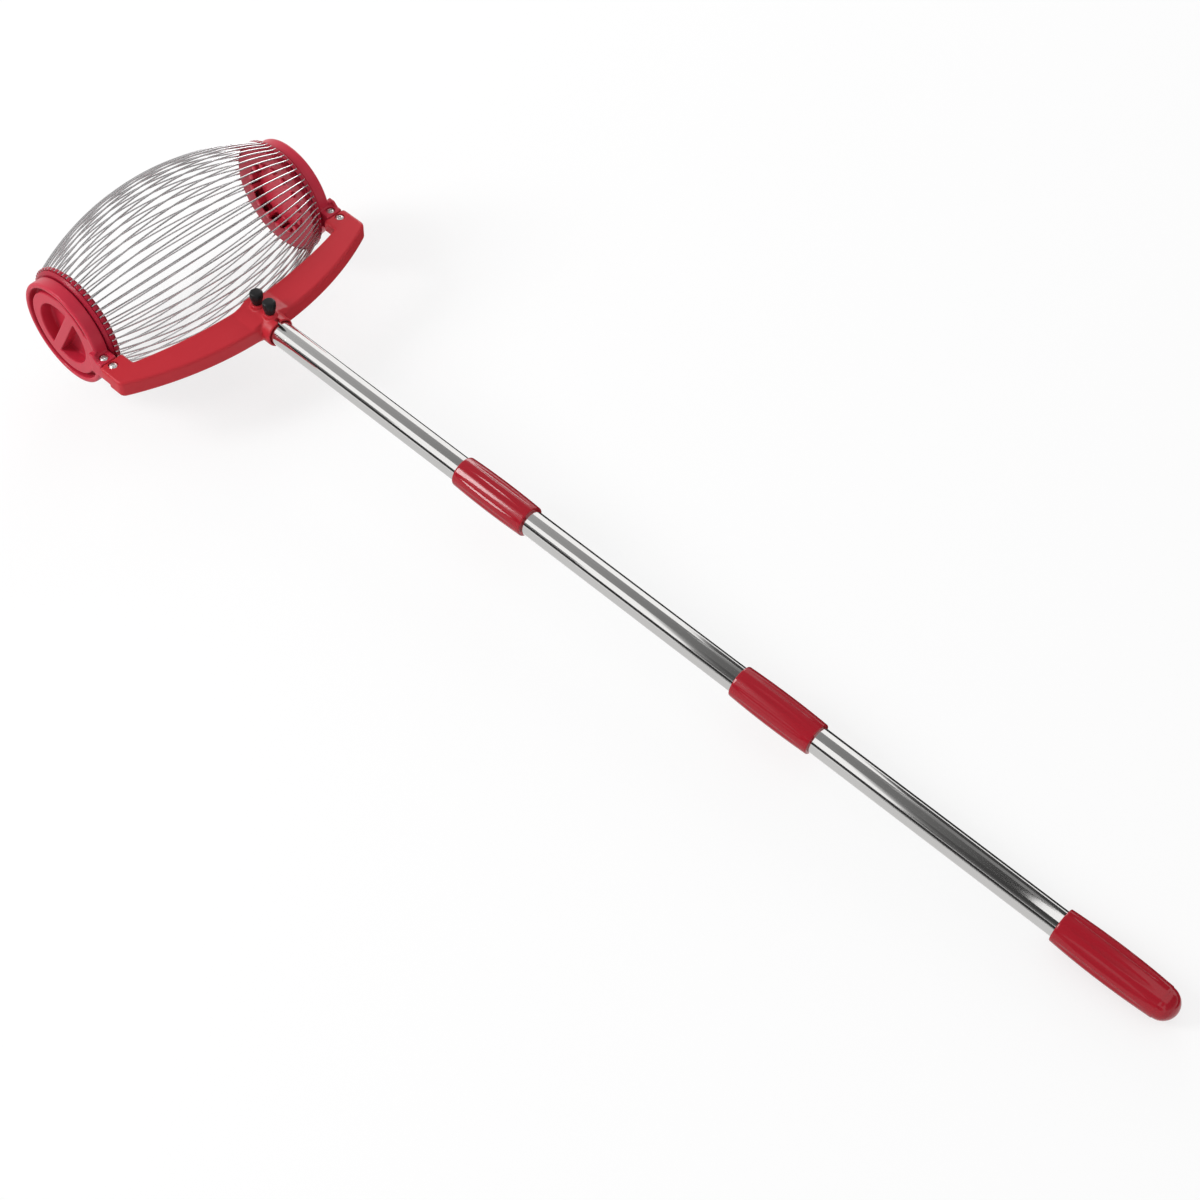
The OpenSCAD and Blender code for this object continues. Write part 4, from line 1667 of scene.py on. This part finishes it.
@dataclass
class Studio:
    """Pale floor, soft light and the camera at the photograph's angle."""

    place: Triple = (-0.72568, -0.69670, 1.22875)
    azimuth: float = -47.040
    elevation: float = 50.734
    roll: float = -0.388
    lens: float = 60.0
    sensor: float = 36.0
    floor_size: float = 12.0
    floor_drop: float = 0.0004
    floor_glow: float = 0.72
    paper: tuple[float, float, float, float] = (0.86, 0.86, 0.86, 1.0)
    world_level: float = 0.78
    key: tuple[Triple, Point, float] = ((-2.1, 1.75, 1.95), (0.9, 1.5), 58.0)
    fill: tuple[Triple, Point, float] = ((2.2, 1.7, 1.1), (1.0, 1.0), 16.0)
    target: Triple = (0.0, 0.15, 0.05)
    mirrors: tuple[str, ...] = ("lower_tube_look", "middle_tube_look", "upper_tube_look")
    cards: tuple[Card, ...] = (
        Card("ceiling", (0.025, 1.25, 2.2), (3.5, 2.05), (0.0, 0.0, QUARTER), 0.01, 0.8, 0.54),
        Card("right_ceiling", (1.525, 1.675, 2.2), (2.65, 0.95), (0.0, 0.0, QUARTER), 0.18, 1.0, 0.54),
        Card("left_wall", (-2.6, 0.6, 0.66), (1.1, 6.0), (0.0, QUARTER, 0.0), 0.03, 12.0),
        Card("left_flag", (-2.4, -0.75, 2.2), (2.9, 2.8), (0.0, 0.0, QUARTER), 0.05, 14.0),
        Card("right_flag", (2.6, -0.19, 1.7), (1.62, 2.4), (QUARTER, 0.0, QUARTER), 0.05, 40.0),
        Card("front_ceiling", (1.8, -0.1, 2.2), (0.9, 1.6), (0.0, 0.0, QUARTER), 0.2, 30.0),
        Card("left_near_flag", (-2.6, -0.55, 1.7), (1.0, 2.1), (0.0, QUARTER, 0.0), 0.1, 8.0),
        Card("left_low_flag", (-2.6, -0.4, 0.065), (0.12, 2.0), (0.0, QUARTER, 0.0), 0.03, 20.0),
        Card("left_far_flag", (-2.6, 2.2, 1.45), (0.55, 1.3), (0.0, QUARTER, 0.0), 0.1, 8.0),
        Card("front_wall", (1.4, -3.0, 1.6), (3.0, 7.0), (0.0, QUARTER, -QUARTER), 0.04, 8.0),
        Card("right_floor", (1.32, -0.39, 0.003), (2.58, 1.62), (0.0, 0.0, 0.0), 0.03, 20.0),
        Card("left_floor", (-1.731, 0.0, 0.003), (3.438, 3.6), (0.0, 0.0, 0.0), 0.62, 1.0, 0.62))

    def build(self) -> None:
        """Sets the stage."""
        bpy.context.scene.view_settings.view_transform = "Standard"
        self.camera()
        self.floor()
        self.world()
        for card in self.cards:
            card.build()
        self.lamp("key", *self.key)
        self.lamp("fill", *self.fill)

    def camera(self) -> None:
        """Places the camera."""
        data = bpy.data.cameras.new("photo_camera")
        data.lens = self.lens
        data.sensor_width = self.sensor
        camera = bpy.data.objects.new("photo_camera", data)
        bpy.context.scene.collection.objects.link(camera)
        a, e = math.radians(self.azimuth), math.radians(self.elevation)
        back = Vector((math.sin(a) * math.cos(e), -math.cos(a) * math.cos(e), math.sin(e)))
        camera.location = self.place
        camera.rotation_mode = "QUATERNION"
        camera.rotation_quaternion = (
            (-back).to_track_quat("-Z", "Y") @ Quaternion((0, 0, 1), math.radians(self.roll)))
        bpy.context.scene.camera = camera

    def floor(self) -> None:
        """Lays a pale floor that looks white to the camera and still takes a soft shadow."""
        material = bpy.data.materials.new("floor_white")
        tree = bare_tree(material)
        paper = add_node(tree, "ShaderNodeBsdfDiffuse", {}, Color=self.paper)
        glow = add_node(tree, "ShaderNodeEmission", {}, Color=WHITE, Strength=1.0)
        mix = tree.nodes.new("ShaderNodeMixShader")
        plug(tree, mix.inputs[0], self.seen(tree) * self.floor_glow)
        for place, shader in ((1, paper), (2, glow)):
            tree.links.new(shader.outputs[0], mix.inputs[place])
        end_tree(tree, mix)
        sheet("floor", (self.floor_size, self.floor_size), -self.floor_drop, material)

    def seen(self, tree: bpy.types.NodeTree) -> Value:
        """1 for rays that the camera, a mirror or glass sends, 0 for rays that light the object.

        Args:
            tree: The tree that asks.

        Returns:
            The 1 or 0.
        """
        path = tree.nodes.new("ShaderNodeLightPath")
        sight = Value(tree, path.outputs["Is Camera Ray"])
        for name in ("Is Glossy Ray", "Is Transmission Ray"):
            sight = sight.math("MAXIMUM", Value(tree, path.outputs[name]))
        return sight

    def world(self) -> None:
        """Lights the scene evenly from all sides and shows white behind it."""
        world = bpy.data.worlds.new("studio")
        tree = bare_tree(world)
        strength = self.seen(tree) * (1.0 - self.world_level) + self.world_level
        light = add_node(tree, "ShaderNodeBackground", {}, Color=WHITE, Strength=strength)
        end_tree(tree, light, "ShaderNodeOutputWorld")
        bpy.context.scene.world = world

    def lamp(self, name: str, place: Triple, size: Point, energy: float) -> None:
        """Hangs a soft lamp that points at the tool and leaves the polished tubes to the cards.

        Args:
            name: The lamp's name.
            place: Where it hangs.
            size: Its width and height in metres.
            energy: Its power in watts.
        """
        data = bpy.data.lights.new(name, "AREA")
        data.shape = "RECTANGLE"
        data.size, data.size_y = size
        data.energy = energy
        lamp = bpy.data.objects.new(name, data)
        bpy.context.scene.collection.objects.link(lamp)
        lamp.location = place
        lamp.rotation_mode = "QUATERNION"
        lamp.rotation_quaternion = (Vector(self.target) - Vector(place)).to_track_quat("-Z", "Y")
        unlit = bpy.data.collections.new(f"{name}_unlit")
        lamp.light_linking.receiver_collection = unlit
        for mirror in self.mirrors:
            unlit.objects.link(bpy.data.objects[mirror])
        for member in unlit.collection_objects:
            member.light_linking.link_state = "EXCLUDE"


def main() -> None:
    """Builds the tool piece by piece, then the studio."""
    finishes = Finishes()
    for part in (Yoke(), Holder(), Fasteners(), ThumbScrews(), Basket(), Pole()):
        part.build(finishes)
    Studio().build()


if __name__ == "__main__":
    main()
